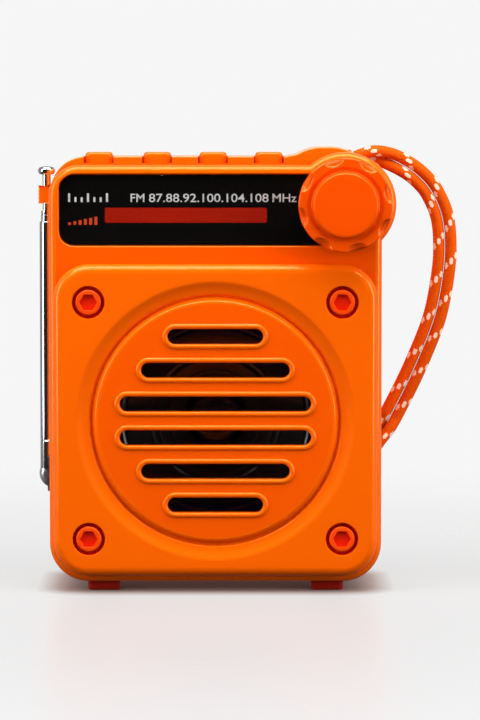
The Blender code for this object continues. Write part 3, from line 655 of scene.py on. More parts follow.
def make_world():
    """White to the camera, dim as a light, and a third as bright in reflections.

    Reflections are darker in front of the radio and below it, with a white card far behind.
    """
    world = bpy.data.worlds.new("studio")
    bpy.context.scene.world = world
    world.use_nodes = True
    tree = world.node_tree
    seen = tree.nodes["Background"]
    feed(seen, {"Color": (*STUDIO_WHITE, 1)})
    ambient = add_node(tree, "Background", {"Strength": AMBIENT, "Color": (1, 1, 1, 1)})
    split = add_node(tree, "SeparateXYZ", {"Vector": add_node(tree, "TexCoord").outputs["Generated"]})
    span = add_node(tree, "MapRange", {"Value": split.outputs["Y"], "From Min": -1})
    walls = add_ramp(tree, span, MIRRORED_WALLS)
    below = add_node(tree, "MapRange", {"Value": split.outputs["Z"], "From Min": -0.8,
                                        "From Max": -0.4, "To Min": 0.1})
    mirrored = add_node(tree, "Background", {"Color": walls, "Strength": below})
    path = add_node(tree, "LightPath")
    by_gloss = add_node(tree, "MixShader", {"Fac": path.outputs["Is Glossy Ray"],
                                            1: ambient, 2: mirrored})
    by_camera = add_node(tree, "MixShader", {"Fac": path.outputs["Is Camera Ray"],
                                             1: by_gloss, 2: seen})
    feed(tree.nodes["World Output"], {"Surface": by_camera})


def make_lights():
    """Wide panels light the radio; narrow strips draw the highlights on its rims."""
    for name, place, width, height, power, mirrored in SOFTBOXES:
        light = bpy.data.lights.new(name, "AREA")
        light.shape = "RECTANGLE"
        light.size = width
        light.size_y = height
        light.energy = power
        obj = add_object(name, light)
        look_at(obj, place, LIGHTS_AIM)
        obj.visible_glossy = mirrored


def make_floor():
    """A pale floor that fades out into the white of the studio; it barely mirrors the radio."""
    bm = bmesh.new()
    bmesh.ops.create_grid(bm, x_segments=8, y_segments=8, size=0.9)
    mesh = bpy.data.meshes.new("floor")
    bm.to_mesh(mesh)
    bm.free()
    floor = add_object("floor", mesh)
    mesh.materials.append(make_floor_material())
    floor.visible_diffuse = False
    floor.visible_glossy = False


def make_floor_material():
    """Matt and partly shining by itself, with a painted red-brown shadow close under the radio, clear
    far out.
    """
    mat = bpy.data.materials.new("pale_floor")
    mat.use_nodes = True
    tree = mat.node_tree
    tree.nodes.clear()
    output = add_node(tree, "OutputMaterial")
    matt = add_node(tree, "BsdfDiffuse", {"Color": (*FLOOR_ALBEDO, 1)})
    # Painted shadow: the glow turns red-brown where ambient occlusion finds the radio close by.
    sky = add_node(tree, "AmbientOcclusion", {"Distance": FLOOR_SHADE_REACH}).outputs["AO"]
    shade = add_ramp(tree, sky, [(0, FLOOR_SHADE), (0.55, FLOOR_HALF_SHADOW), (1, FLOOR_GLOW)])
    lit = add_node(tree, "AddShader", {0: matt, 1: add_node(tree, "Emission", {"Color": shade})})
    polish = add_node(tree, "Math", {0: sky, 1: FLOOR_POLISH})
    polish.operation = "MULTIPLY"
    mirror = add_node(tree, "BsdfGlossy", {"Roughness": 0.26})
    polished = add_node(tree, "MixShader", {"Fac": polish, 1: lit, 2: mirror})
    reach = add_node(tree, "VectorMath", {0: object_place(tree)})
    reach.operation = "LENGTH"
    fade = add_node(tree, "MapRange", {"Value": reach.outputs["Value"],
                                       "From Min": FLOOR_FADE[0], "From Max": FLOOR_FADE[1]})
    fade.interpolation_type = "SMOOTHSTEP"
    clear = add_node(tree, "BsdfTransparent")
    faded = add_node(tree, "MixShader", {"Fac": fade, 1: polished, 2: clear})
    feed(output, {"Surface": faded})
    return mat


# --- Strap ---

def on_route(progress):
    """A point on the smooth Catmull-Rom curve through the route, for progress from 0 to 1."""
    points = [Vector((x, 0, z)) * MM for x, z in CORD_ROUTE]
    points = [2 * points[0] - points[1], *points, 2 * points[-1] - points[-2]]
    place_on = progress * (len(CORD_ROUTE) - 1)
    index = min(int(place_on), len(CORD_ROUTE) - 2)
    t = place_on - index
    a, b, c, d = points[index:index + 4]
    curve = 2 * b + (c - a) * t + (2 * a - 5 * b + 4 * c - d) * t**2 + (3 * b - a - 3 * c + d) * t**3
    return curve / 2 + Vector((0, CORD_Y, 0))


def strand_point(progress, side):
    """The strands lie side by side in the loop, and turn one behind the other at both ends."""
    step = 1e-3
    ahead = on_route(min(progress + step, 1)) - on_route(max(progress - step, 0))
    outward = Vector((-ahead.z, 0, ahead.x)).normalized()
    opened = min(1, progress / CORD_TWIST_TOP, (1 - progress) / (1 - CORD_TWIST_SIDE))
    turn = math.radians(90 * opened)
    offset = outward * math.sin(turn) - Vector((0, 1, 0)) * math.cos(turn)
    return on_route(progress) + offset * side * CORD_SPREAD


def smooth_path(side, spacing):
    """Evenly spaced points along one strand."""
    fine = [strand_point(i / 600, side) for i in range(601)]
    run = [0.0]
    for first, second in zip(fine, fine[1:]):
        run.append(run[-1] + (second - first).length)
    count = max(2, round(run[-1] / spacing))
    points, index = [], 0
    for i in range(count + 1):
        target = run[-1] * i / count
        while index < len(run) - 2 and run[index + 1] < target:
            index += 1
        t = (target - run[index]) / max(1e-12, run[index + 1] - run[index])
        points.append(fine[index].lerp(fine[index + 1], t))
    return points, run[-1]


def braid_height(along, around):
    """How far the woven yarns stand out, 0 to 1, and whether this spot shows a pale yarn."""
    turn = BRAID_STRANDS * around / (2 * math.pi)
    first = along / BRAID_PITCH / 2 + turn
    second = along / BRAID_PITCH / 2 - turn
    u, v = first - math.floor(first), second - math.floor(second)
    pillow = math.sin(math.pi * u) * math.sin(math.pi * v)
    over = (math.floor(first) + math.floor(second)) % 2
    crown = pillow**0.5 * (1.0 if over else 0.8)
    spot = FLECKS_A_TURN * around / (2 * math.pi)
    row = along / FLECK_SPACING - (math.floor(spot) + 0.5) / FLECKS_A_TURN
    lengthwise = (row - round(row)) * FLECK_SPACING / FLECK_LENGTH
    sideways = (spot - math.floor(spot) - 0.5) / FLECK_WIDTH
    pale = lengthwise**2 + sideways**2 < 1
    return crown, pale


def braided_tube(name, points):
    bm = bmesh.new()
    rings, along = [], 0.0
    side = Vector((0, 1, 0))
    for index, point in enumerate(points):
        ahead = points[min(index + 1, len(points) - 1)] - points[max(index - 1, 0)]
        ahead.normalize()
        side = (side - ahead * side.dot(ahead)).normalized()
        other = ahead.cross(side)
        if index:
            along += (point - points[index - 1]).length
        ring = []
        for k in range(BRAID_SIDES):
            angle = 2 * math.pi * k / BRAID_SIDES
            radius = BRAID_RADIUS - BRAID_DEPTH * (1 - braid_height(along, angle)[0])
            outward = side * math.cos(angle) + other * math.sin(angle)
            ring.append(bm.verts.new(point + outward * radius))
        rings.append((ring, along))
    for (first, low), (second, high) in zip(rings, rings[1:]):
        for k in range(BRAID_SIDES):
            following = (k + 1) % BRAID_SIDES
            face = bm.faces.new((first[k], first[following], second[following], second[k]))
            angle = 2 * math.pi * (k + 0.5) / BRAID_SIDES
            face.material_index = 1 if braid_height((low + high) / 2, angle)[1] else 0
    bm.faces.new(list(reversed(rings[0][0])))
    bm.faces.new(rings[-1][0])
    return finished(bm, name)


def make_strap():
    for number, side in enumerate((1, -1), 1):
        name = f"strap_strand_{number}"
        points, length = smooth_path(side, 0.3 * MM)
        mesh = braided_tube(f"braided_strand_{number}", points)
        strand = on_case(mesh, "cord", ["cord", "fleck"], [name], 80, False)
    top = rounded(CORD_Y - 4 * MM, CORD_Y + 4 * MM, *mm(142.2, 147.2, 2), 6)
    mesh = prism("ferrule_top", top, 41.3 * MM, 46.3 * MM, "X", 0.6 * MM)
    on_case(mesh, "seal_rubber", "ferrule", ["strap_ferrule_top"])
    side = rounded(51.6 * MM, 56.6 * MM, CORD_Y - 4.1 * MM, CORD_Y + 4.1 * MM, 2 * MM, 6)
    mesh = prism("ferrule_side", side, 38.3 * MM, 44 * MM, "Z", 0.6 * MM)
    on_case(mesh, "seal_rubber", "ferrule", ["strap_ferrule_side"])


# --- Case ---

def make_front_case():
    """The moulded front: rounded rim, display pocket, speaker and collar openings."""
    outline = front_outline()
    shell = Shell()
    rings = [shell.ring(inset(outline, 0.3 * MM), FRONT_BACK_Y),
             shell.ring(outline, FRONT_BACK_Y - 0.3 * MM)]
    rings += shell.rim(outline, FRONT_EDGE, 6, FRONT_Y, -1)
    shell.chain(rings)
    pocket, bar, collar = make_pocket(shell)
    speaker = circle((0, GRILLE_Z), SPEAKER_OPENING, 96)
    wall = shell.wall(speaker, FRONT_Y, FRONT_FLOOR_Y)
    # The flat front face takes the second look, a painted shade.
    shell.cap(rings[-1], pocket, wall[0], index=1)
    inner = HALF_WIDTH - SIDE_WALL
    hollow = rounded(-inner, inner, CASE_BOTTOM + SIDE_WALL, FRONT_TOP - SIDE_WALL, HOLLOW_RADIUS)
    inside = shell.wall(hollow, FRONT_FLOOR_Y, FRONT_BACK_Y)
    shell.cap(inside[0], wall[-1], bar, collar)
    shell.cap(rings[0], inside[-1])
    on_case(shell.mesh("front_moulding"), "case_orange", ["case", "painted_shade_bezel"], ["front_case"])


def make_pocket(shell):
    """The display pocket with its eased mouth; the bar and collar openings go through its floor."""
    def mouth(grow):
        return rounded(-LENS_HALF - grow, LENS_HALF + grow, LENS_LOW - grow, LENS_HIGH + grow,
                       LENS_RADIUS + grow, 10)
    rings = [shell.ring(mouth(0.3 * MM + drawn_in), FRONT_Y + 0.45 * MM - rise)
             for drawn_in, rise in quarter(0.45 * MM, 4)]
    floor = shell.ring(mouth(0.3 * MM), POCKET_FLOOR_Y)
    shell.chain([floor] + rings)
    slot = rounded(BAR_LEFT - 0.3 * MM, BAR_RIGHT + 0.3 * MM, BAR_LOW - 0.3 * MM,
                   BAR_HIGH + 0.3 * MM, 0.8 * MM, 3)
    bar = shell.wall(slot, POCKET_FLOOR_Y, FRONT_FLOOR_Y)
    hole = circle((KNOB_X, KNOB_Z), COLLAR_OPENING, 32)
    collar = shell.wall(hole, POCKET_FLOOR_Y, FRONT_FLOOR_Y)
    shell.cap(floor, bar[0], collar[0])
    return rings[-1], bar[-1], collar[-1]


def make_seal():
    """The rubber cord in the split line, filling the gap between the two mouldings."""
    shell = Shell()
    outer, inner = seal_outline(0.55 * MM), seal_outline(2.4 * MM)
    rings = shell.chain([shell.ring(inner, FRONT_BACK_Y), shell.ring(outer, FRONT_BACK_Y),
                         shell.ring(outer, REAR_FRONT_Y), shell.ring(inner, REAR_FRONT_Y)])
    shell.skin(rings[-1], rings[0])
    on_case(shell.mesh("seal_cord"), "seal_rubber", "rubber", ["case_seal"])


def block(name, low, high):
    """A small cutter with eased corners, from its lowest to its highest corner in millimetres."""
    outline = rounded(*mm(low[0], high[0], low[2], high[2], 0.3), 3)
    shell = Shell()
    shell.close([shell.ring(outline, low[1] * MM), shell.ring(outline, high[1] * MM)])
    return shell.mesh(name)


def sunk(name, outline, low, high, axis="Y"):
    return prism(name, outline, low, high, axis, 0, 0)


def case_screw_places():
    return [(side * 46 * MM, level) for level in (127 * MM, 14 * MM) for side in (-1, 1)]


def cover_screw_places():
    return [(side * 37.5 * MM, 45 * MM) for side in (-1, 1)]


def rear_cutters():
    """Everything taken out of the rear moulding."""
    tools = [
        sunk("inside", rear_hollow(), REAR_FRONT_Y - MM, BACK_Y - 3.5 * MM),
        sunk("groove", circle((ANTENNA_X, ANTENNA_Y), 2.9 * MM, 40), 36 * MM, 150 * MM, "Z"),
        block("pivot_pocket", (-60, 6.4, 30), (-48, 17.6, 43.4)),
        block("clip_pocket", (-60, 8.2, 128.7), (-54, 15.8, 135.3)),
        block("cord_top", (41, 9.7, 141.9), (60, 18.3, 150)),
        block("cord_side", (51.2, 9.5, 38), (60, 18.5, 57)),
        sunk("battery_mouth", rounded(*mm(-34, 34, 21, 69, 3), 5), 28.5 * MM, BACK_Y + MM),
        sunk("cover_pocket", rounded(*mm(-41, 41, 17, 73, 5), 8), BACK_Y - 2 * MM, BACK_Y + MM),
    ]
    for number, x in enumerate(KEY_XS, 1):
        opening = key_outline(x, KEY_MOUTH_GAP, 2 * MM, 6)
        tools.append(sunk(f"key_mouth_{number}", opening, 138 * MM, 150 * MM, "Z"))
        notch = rounded(x - KEY_HALF_X - KEY_NOTCH_GAP, x + KEY_HALF_X + KEY_NOTCH_GAP, -9 * MM,
                        KEY_Y + KEY_HALF_Y + KEY_NOTCH_GAP, 2.1 * MM, 6)
        tools.append(sunk(f"key_notch_{number}", notch, KEY_NOTCH_Z, 151 * MM, "Z"))
    sink = [(0, -4.5), (1.8, -4.5), (1.8, -2), (3.4, -2), (3.4, -0.35), (3.75, 0), (3.75, 1), (0, 1)]
    for number, (x, z) in enumerate(case_screw_places(), 1):
        tools.append(lathe(f"screw_sink_{number}", sink, (x, BACK_Y, z), (0, 1, 0), 32))
    return tools


def make_rear_case():
    outline = rear_outline()
    shell = Shell()
    rings = [shell.ring(inset(outline, 0.35 * MM), REAR_FRONT_Y),
             shell.ring(outline, REAR_FRONT_Y + 0.35 * MM)]
    shell.close(rings + shell.rim(outline, REAR_EDGE, 7, BACK_Y, 1))
    mesh = cut(shell.mesh("rear_moulding"), rear_cutters())
    on_case(mesh, "case_orange", "case", ["rear_case"])


def make_battery_cover():
    """The screwed cover on the back, with finger grooves cut along its lower edge."""
    outline = rounded(*mm(-40.7, 40.7, 17.3, 72.7, 4.7), 8)
    mesh = prism("battery_lid", outline, 31.3 * MM, BACK_Y, "Y", 0.6 * MM, 0)
    sink = [(0, -3), (1.4, -3), (1.4, -0.9), (2.5, -0.9), (2.5, -0.3), (2.8, 0), (2.8, 1), (0, 1)]
    tools = [lathe(f"lid_sink_{number}", sink, (x, BACK_Y, z), (0, 1, 0), 32)
             for number, (x, z) in enumerate(cover_screw_places(), 1)]
    for row in range(5):
        groove = stadium((0, (20.5 + 2.2 * row) * MM), 26 * MM, 1.0 * MM, 6)
        tools.append(sunk(f"lid_groove_{row}", groove, BACK_Y - 0.5 * MM, BACK_Y + MM))
    on_case(cut(mesh, tools), "case_orange", "case", ["battery_cover"])


def make_feet():
    for row, y in (("front", -12 * MM), ("rear", 24 * MM)):
        for side, x in (("left", -37.4 * MM), ("right", 37.4 * MM)):
            outline = rounded(x - 5.4 * MM, x + 5.4 * MM, y - 4 * MM, y + 4 * MM, 1.5 * MM, 6)
            mesh = prism(f"foot_pad_{row}_{side}", outline, 0, CASE_BOTTOM + MM, "Z", 0, 0.7 * MM)
            on_case(mesh, "foot_rubber", "foot", [f"foot_{row}_{side}"])


def hex_screw(name, x, y, z, facing, head, height, key, depth, shank, length):
    """A cap screw: domed rim, chamfered hexagon socket and a plain shank; facing is 1 or -1."""
    shell = Shell()

    def turned(radius, sides, out):
        return shell.ring(circle((x, z), radius, sides), y + facing * out)
    rings = [turned(0.3 * shank, 24, -length), turned(shank, 24, -(length - 0.5 * MM)),
             turned(shank, 24, 0)]
    shell.cap(rings[0])
    shell.chain(rings)
    under = turned(head, 48, 0)
    shell.cap(under, rings[-1])
    top = [under] + [turned(head - drawn_in, 48, height - 0.5 * MM + rise)
                     for drawn_in, rise in quarter(0.5 * MM, 5)]
    shell.chain(top)
    mouth = turned(key + 0.15 * MM, 6, height)
    wall = turned(key, 6, height - 0.15 * MM)
    floor = turned(key, 6, height - depth)
    shell.skin(mouth, wall)
    # The socket's wall and floor take the second look; on the plate screws that is a deep red painted
    # shade.
    shell.skin(wall, floor, 1)
    shell.cap(top[-1], mouth)
    shell.cap(floor, index=1)
    return shell.mesh(name)


def put_screws(kind, node, places, y, facing, sizes, slot, looks):
    """A set of screws; sizes are those of hex_screw from head to length, in millimetres."""
    for number, (x, z) in enumerate(places, 1):
        mesh = hex_screw(f"{kind}_{number}", x, y, z, facing, *mm(*sizes))
        on_case(mesh, slot, looks, [f"{node}_{number}"])


def make_rear_screws():
    put_screws("rear_screw", "case_screw", case_screw_places(), 31.3 * MM, 1,
               (3, 1.5, 1.3, 0.9, 1.5, 5.2), "steel", ["steel", "steel"])
    put_screws("lid_screw", "cover_screw", cover_screw_places(), 32.4 * MM, 1,
               (2.1, 0.6, 0.9, 0.4, 1.1, 2.9), "steel", ["steel", "steel"])


# --- Display ---

def make_lens():
    shell = Shell()
    outline = rounded(-LENS_HALF, LENS_HALF, LENS_LOW, LENS_HIGH, LENS_RADIUS, 10)
    front, back = FRONT_Y + 0.1 * MM, FRONT_Y + 1.1 * MM
    rings = [shell.ring(outline, back)] + shell.rim(outline, 0.35 * MM, 3, front, -1)
    shell.chain(rings)
    hole = circle((KNOB_X, KNOB_Z), COLLAR_OPENING, 48)
    inner = shell.wall(hole, back, front)
    shell.cap(rings[0], inner[0])
    shell.cap(rings[-1], inner[-1])
    on_case(shell.mesh("lens_window"), "lens", "lens", ["display_lens"])


def text_mesh(name, body, left, low, height, width):
    """Flat raised lettering on the dial, its capitals height tall, from left and width wide."""
    font = bpy.data.curves.new(name, "FONT")
    font.body = body
    font.size = height / CAPITAL_HEIGHT
    font.extrude = 0.02 * MM
    font.offset = 0.02 * MM
    font.resolution_u = 4
    obj = add_object(name, font)
    mesh = evaluated_mesh(obj)
    bpy.data.objects.remove(obj)
    xs = [vert.co.x for vert in mesh.vertices]
    start = min(xs)
    stretch = width / (max(xs) - start)
    for vert in mesh.vertices:
        vert.co = Vector((left + (vert.co.x - start) * stretch, DIAL_Y - 0.03 * MM - vert.co.z,
                          low + vert.co.y))
    mesh.name = name
    return mesh


def bars_mesh(name, rectangles):
    """Several thin printed bars on the dial, as (left, right, low, high) in millimetres."""
    shell = Shell()
    for rectangle in rectangles:
        outline = rounded(*mm(*rectangle, 0.12), 2)
        shell.close([shell.ring(outline, DIAL_Y), shell.ring(outline, DIAL_Y - 0.05 * MM)])
    return shell.mesh(name)


def make_dial_print():
    """Generic dial print: the band, its numbers and its unit, with plain marks beside them."""
    words = (("dial_band", "FM", -28.2, 4.6), ("dial_numbers", "87.88.92.100.104.108", -22.1, 39.8),
             ("dial_unit", "MHz", 19.0, 8.0))
    for name, body, left, width in words:
        mesh = text_mesh(name, body, *mm(left, 130.2, 2.9, width))
        on_case(mesh, "black_plastic", "print", angle=30, weighted=False)
    marks = [(-49 + 2.1 * i, -48.3 + 2.1 * i, 130.2, 131.8 if i % 3 else 133.1) for i in range(7)]
    on_case(bars_mesh("dial_marks", marks), "black_plastic", "print", weighted=False)
    steps = [(-49 + 1.75 * i, -48 + 1.75 * i, 122.6, 123.4 + 0.38 * i) for i in range(6)]
    on_case(bars_mesh("level_marks", steps), "black_plastic", "red_print", weighted=False)


# --- Knob ---

def knob_profile():
    """(radius, y, v) rows in millimetres, from the middle of the front round to the back.

    v runs over the ring's front corner, 0 at the corner, and tells the scallops where they are.
    """
    disc = [(r, -33) for r in (0, 2, 4, 6, 8, 9.4)]
    disc += [(10.0, -32.97), (10.35, -32.88), (10.6, -32.68), (10.74, -32.4), (10.8, -32.05)]
    groove = [(10.82, -31.6), (10.85, -31.2), (10.92, -30.8), (11.1, -30.5), (11.4, -30.35),
              (11.75, -30.38), (12.1, -30.6), (12.35, -30.85), (12.55, -30.97)]
    rows = [(r, y, None) for r, y in disc + groove]
    rows += [(12.75 + 0.2 * i, -31.0, 12.75 + 0.2 * i - 15.25) for i in range(12)]
    for angle in (15, 30, 45, 60, 75, 90):
        turn = math.radians(angle)
        along = (angle - 45) / 90 * 0.7
        rows.append((15.0 + 0.5 * math.sin(turn), -30.5 - 0.5 * math.cos(turn), along))
    rows += [(15.5, -30.3 + 0.2 * i, 0.5 + 0.2 * i) for i in range(15)]
    back = [(15.5, -26.4), (15.5, -24.4), (15.5, -23), (15.5, -21.4), (15.5, -20.3), (15.42, -20.0),
            (15.2, -19.78), (14.9, -19.7), (12, -19.7), (8, -19.7), (8, -24.7), (3.2, -24.7)]
    return rows + [(r, y, None) for r, y in back]


def scallop_depth(v, angle):
    """Depth in millimetres of the leaf-shaped finger scallops at this place on the corner."""
    if v is None:
        return 0.0
    step = 360 / SCALLOPS
    off = (math.degrees(angle) - SCALLOP_PHASE + step / 2) % step - step / 2
    across = KNOB_RADIUS / MM * math.radians(off) / SCALLOP_HALF_LENGTH
    along = v / (SCALLOP_FRONT if v < 0 else SCALLOP_SIDE)
    inside = 1 - across**2 - along**2
    return SCALLOP_DEPTH * inside**0.7 if inside > 0 else 0.0


def make_knob():
    """A flat disc in a ring whose front corner carries eight leaf-shaped scallops."""
    bm = bmesh.new()
    rings = []
    for radius, y, v in knob_profile():
        ring = []
        for side in range(KNOB_SIDES if radius else 1):
            angle = 2 * math.pi * side / KNOB_SIDES
            sunk_by = scallop_depth(v, angle)
            r = (radius - 0.6 * sunk_by) * MM
            depth = (y + 0.8 * sunk_by) * MM
            ring.append(bm.verts.new((KNOB_X + r * math.cos(angle), depth,
                                      KNOB_Z + r * math.sin(angle))))
        rings.append(ring)
    rings.append([bm.verts.new((v.co.x, KNOB_BORE_Y, v.co.z)) for v in rings[-1]])
    for first, second in zip(rings, rings[1:]):
        join_rings(bm, first, second)
    bm.faces.new(rings[-1])
    piece(finished(bm, "knob_turning"), "knob", "case_orange", "knob", ["tuning_knob"], 34)


# --- Grille and speaker ---

def make_slot(shell, number, length):
    """One slot with its raised lip; returns the lip's foot and the wall's back ring."""
    centre = (0, GRILLE_Z + (2.5 - number) * SLOT_PITCH)
    lip = [(1.75, -22.8), (1.62, -22.98), (1.45, -23.18), (1.2, -23.34), (0.9, -23.4),
           (0.6, -23.36), (0.32, -23.22), (0.12, -22.98), (0.02, -22.65), (0.0, -22.3),
           (0.0, -19.3)]
    rings = shell.chain([
        shell.ring(stadium(centre, length + 2 * grow * MM, SLOT_HEIGHT + 2 * grow * MM), y * MM)
        for grow, y in lip])
    return rings[0], rings[-1]


def make_recess(shell, x, z):
    """A sunk seat for one corner screw."""
    rings = [shell.ring(circle((x, z), RECESS_RADIUS + grow * MM, 48), y * MM)
             for grow, y in ((0.35, -23.3), (0.14, -23.22), (0.03, -23.05), (0, -22.85), (0, -21.0),
                             (-0.2, -20.8))]
    shell.chain(rings[:4])
    # The seat's wall and floor take the second look, a deep red painted shade.
    shell.skin(rings[3], rings[4], 1)
    shell.skin(rings[4], rings[5], 1)
    shell.cap(rings[-1], index=1)
    return rings[0]


def grille_screw_places():
    return [(side * GRILLE_SCREW_X, GRILLE_Z + level * GRILLE_SCREW_DZ)
            for level in (1, -1) for side in (-1, 1)]


def make_grille():
    """The raised speaker plate: crowned rim, round dish, six lipped slots and four screw seats."""
    shell = Shell()
    outline = rounded(-GRILLE_HALF, GRILLE_HALF, GRILLE_LOW, GRILLE_HIGH, GRILLE_RADIUS, 14)
    rings = [shell.ring(outline, GRILLE_BACK_Y)]
    rings += shell.rim(outline, GRILLE_EDGE, 7, GRILLE_FRONT_Y, -1)
    shell.chain(rings)
    dish = [(46.9, -23.3), (46.5, -23.27), (46.1, -23.16), (45.7, -22.98), (45.1, -22.66),
            (44.3, -22.3), (43.5, -22.02), (42.8, -21.84), (42.3, -21.72), (42.0, -21.5),
            (41.8, -21.1), (41.6, -20.75), (41.35, -20.6), (41.1, -20.65), (40.85, -20.95),
            (40.65, -21.4), (40.45, -21.9), (40.2, -22.35), (39.9, -22.62), (39.5, -22.77),
            (39.0, -22.8)]
    bowl = [shell.ring(circle((0, GRILLE_Z), r * MM, 128), y * MM) for r, y in dish]
    shell.chain(bowl)
    seats = [make_recess(shell, x, z) for x, z in grille_screw_places()]
    shell.cap(rings[-1], bowl[0], *seats)
    slots = [make_slot(shell, number, length) for number, length in enumerate(SLOT_LENGTHS)]
    # The disc between the slots takes the third look, a painted shade.
    shell.cap(bowl[-1], *[lip for lip, _ in slots], index=2)
    shell.cap(rings[0], *[back for _, back in slots])
    on_case(shell.mesh("speaker_plate"), "case_orange", ["case", "recess_shade", "dish"],
          ["speaker_grille"])


def make_grille_screws():
    put_screws("plate_screw", "grille_screw", grille_screw_places(), -21.8 * MM, -1,
               (4.2, 1.6, 3.0, 1.1, 1.5, 9.8), "screw_orange", ["screw", "recess_shade"])


def make_speaker():
    """The drive unit behind the slots: frame, ribbed cone with its surround, dust cap, magnet."""
    centre, front = (0, 0, GRILLE_Z), (0, -1, 0)
    basket = [(40.5, 15.2), (40.5, 13.7), (36.5, 13.2), (23, -1.2), (8, -1.2), (8, 0.2), (22, 0.2),
              (35.2, 14.2), (36, 15.2)]
    mesh = lathe("speaker_basket", basket, centre, front, 96, True)
    on_case(mesh, "black_plastic", "black", ["speaker_frame"])
    cone = [(0, 9.6), (1.5, 9.57), (3, 9.4), (5, 9), (7, 8.2), (8.6, 7.2), (9.5, 6.2), (9.8, 5.2),
            (10.2, 5.3)]
    for radius in (15.7, 19.7, 22):
        height = 5.2 + (radius - 9.8) * 0.372
        cone += [(radius - 0.7, height - 0.26), (radius - 0.25, height + 0.06),
                 (radius + 0.15, height + 0.2), (radius + 0.7, height + 0.26)]
    cone += [(29.8, 12.9), (30.3, 13.8), (31, 14.5), (31.6, 14.8), (32.3, 14.7), (32.9, 14.3),
             (33.4, 14), (34.3, 13.9), (33, 13.2), (31.5, 13.8), (30.2, 12.2), (20.2, 7.6), (9.8, 4),
             (0, 4)]
    mesh = lathe("speaker_diaphragm", cone, centre, front, 128)
    on_case(mesh, "cone_paper", "paper", ["speaker_cone"])
    magnet = [(0, -1.6), (18.5, -1.6), (19.5, -2.6), (19.5, -13), (18.5, -14), (0, -14)]
    on_case(lathe("speaker_motor", magnet, centre, front), "steel", "steel", ["speaker_magnet"])


# --- Keys ---

def key_outline(x, grow, radius, steps):
    return rounded(x - KEY_HALF_X - grow, x + KEY_HALF_X + grow, KEY_Y - KEY_HALF_Y - grow,
                   KEY_Y + KEY_HALF_Y + grow, radius, steps)


def make_keys():
    """Four caps with a rounded, slightly dished top; a flange under the wall holds each one in."""
    under = REAR_TOP - SIDE_WALL
    for number, x in enumerate(KEY_XS, 1):
        shell = Shell("Z")

        def grown(grow, z):
            return shell.ring(key_outline(x, grow, max(0.3 * MM, 1.8 * MM + grow), 8), z)
        stem = circle((x, KEY_Y), 1.8 * MM, 36, 180)
        rings = [shell.ring(stem, under - 2.2 * MM), shell.ring(stem, under - 1.2 * MM),
                 grown(MM, under - 1.2 * MM), grown(MM, under - 0.3 * MM), grown(0, under - 0.3 * MM)]
        rings += [grown(-drawn_in, KEY_TOP - 1.1 * MM + rise)
                  for drawn_in, rise in quarter(1.1 * MM, 6)]
        shell.close(rings + [grown(-2.2 * MM, KEY_TOP - 0.12 * MM)])
        piece(shell.mesh(f"key_cap_{number}"), f"key_{number}", "case_orange", "case",
              [f"key_{number}"])


# --- Antenna ---

def mast(name, profile, body, node):
    mesh = lathe(name, profile, (ANTENNA_X, ANTENNA_Y, 0), (0, 0, 1), 48)
    piece(mesh, body, "chrome", "chrome", [node])


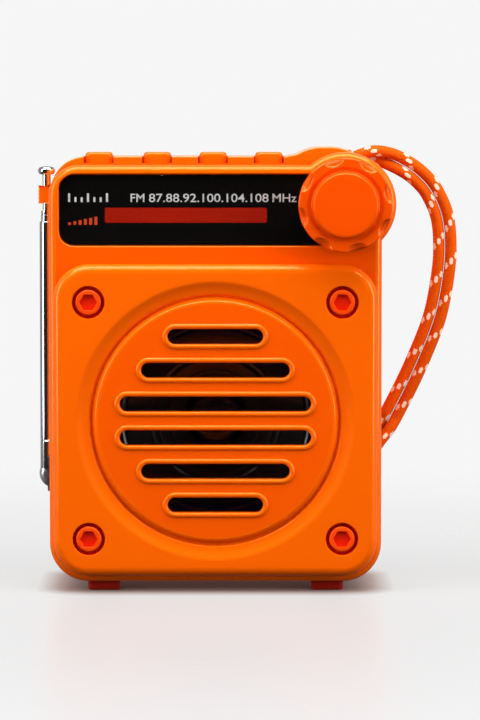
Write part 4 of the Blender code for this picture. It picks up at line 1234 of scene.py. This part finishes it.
def make_antenna():
    """Three chromed sections with rolled ends, the tip, and the eye at the foot."""
    outer = [(0, 47), (2.2, 47), (2.2, 122.2), (1.98, 122.6), (2.08, 122.8), (2.3, 122.8),
             (2.42, 122.6), (2.45, 122.2), (2.45, 48.5), (2.3, 48.3), (2.3, 48.0), (2.45, 47.8),
             (2.45, 36.7), (0, 36.7)]
    mast("mast_base", outer, "antenna_base", "antenna_tube")
    dome = [(2.65 + 2.45 * math.cos(math.radians(a)), 2.45 * math.sin(math.radians(a)))
            for a in range(-90, 91, 12)]
    eye = [(1.5, -2.45)] + dome + [(1.5, 2.45)]
    mesh = lathe("mast_eye", eye, (PIVOT_X, ANTENNA_Y, PIVOT_Z), (0, 1, 0), 48, True)
    piece(mesh, "antenna_base", "chrome", "satin")
    middle = [(0, 51), (1.65, 51), (1.65, 125.8), (1.45, 126.1), (1.6, 126.4), (1.85, 126.4),
              (1.95, 126.1), (1.95, 125.7), (1.82, 125.5), (1.82, 125.2), (1.95, 125), (1.95, 48),
              (0, 48)]
    mast("mast_middle", middle, "antenna_section", "antenna_middle")
    inner = [(0, 140), (1.4, 140), (1.4, 128.6), (1.28, 128.4), (1.28, 128.1), (1.4, 127.9),
             (1.4, 52), (0, 52)]
    mast("mast_rod", inner, "antenna_rod", "antenna_rod")
    tip = [(0, 141.6), (1.2, 141.56), (2.0, 141.4), (2.55, 141.1), (2.85, 140.6), (2.9, 140.1),
           (2.85, 139.6), (2.6, 139.1), (2.2, 138.85), (1.7, 138.8), (1.7, 140.3), (0, 140.3)]
    mast("mast_tip", tip, "antenna_rod", "antenna_tip")


def make_antenna_mount():
    """The fork keeps its CAD shape; the pin gets domed ends and the clip rounded jaws."""
    pin = [(0, -5.1), (0.7, -5.05), (1.05, -4.85), (1.15, -4.5), (1.15, 4.5), (1.05, 4.85),
           (0.7, 5.05), (0, 5.1)]
    mesh = lathe("mast_pin", pin, (PIVOT_X, ANTENNA_Y, PIVOT_Z), (0, 1, 0), 32)
    on_case(mesh, "steel", "steel", ["antenna_pin"])
    back, tips, floor = mm(-54.3, -60.3, -55.4)
    half, slot, outer, inner = mm(3.5, 2.3, 0.6, 0.3)
    jaw = [(back, half)] + arc((tips + outer, half - outer), outer, 90, 180, 4)
    jaw += arc((tips + inner, slot + inner), inner, 180, 270, 3) + [(floor, slot)]
    mirrored = [(x, -y) for x, y in reversed(jaw)]
    outline = [(x, ANTENNA_Y + y) for x, y in reversed(mirrored[-1:] + jaw + mirrored[:-1])]
    mesh = prism("mast_clip", outline, 129 * MM, 135 * MM, "Z", 0.35 * MM)
    on_case(mesh, "case_orange", "case", ["antenna_clip"])


# --- CAD nodes that keep their shape ---

KEPT = {
    "dial": ["dial_plate"], "bar": ["scale_light_bar"], "cell": ["battery_pack"],
    "board": ["scale_lamp_board", "key_board", "main_board"],
    "steel": ["tuner_shield", "tuning_encoder", "encoder_nut", "tuning_shaft", "antenna_fork"],
    "black": ["ferrite_rod", "battery_socket", "key_switch_1", "key_switch_2", "key_switch_3",
              "key_switch_4"],
}


def paint_kept_nodes():
    for look, nodes in KEPT.items():
        for node in nodes:
            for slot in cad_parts[node].material_slots:
                slot.material = LOOKS[look]


# --- The whole scene ---

def build():
    bpy.context.scene.view_settings.view_transform = "Standard"
    for make in (make_camera, make_world, make_lights, make_floor, make_strap, make_front_case,
                 make_seal, make_rear_case, make_battery_cover, make_feet, make_rear_screws,
                 make_lens, make_dial_print, make_knob, make_grille, make_grille_screws,
                 make_speaker, make_keys, make_antenna, make_antenna_mount, paint_kept_nodes):
        make()


build()
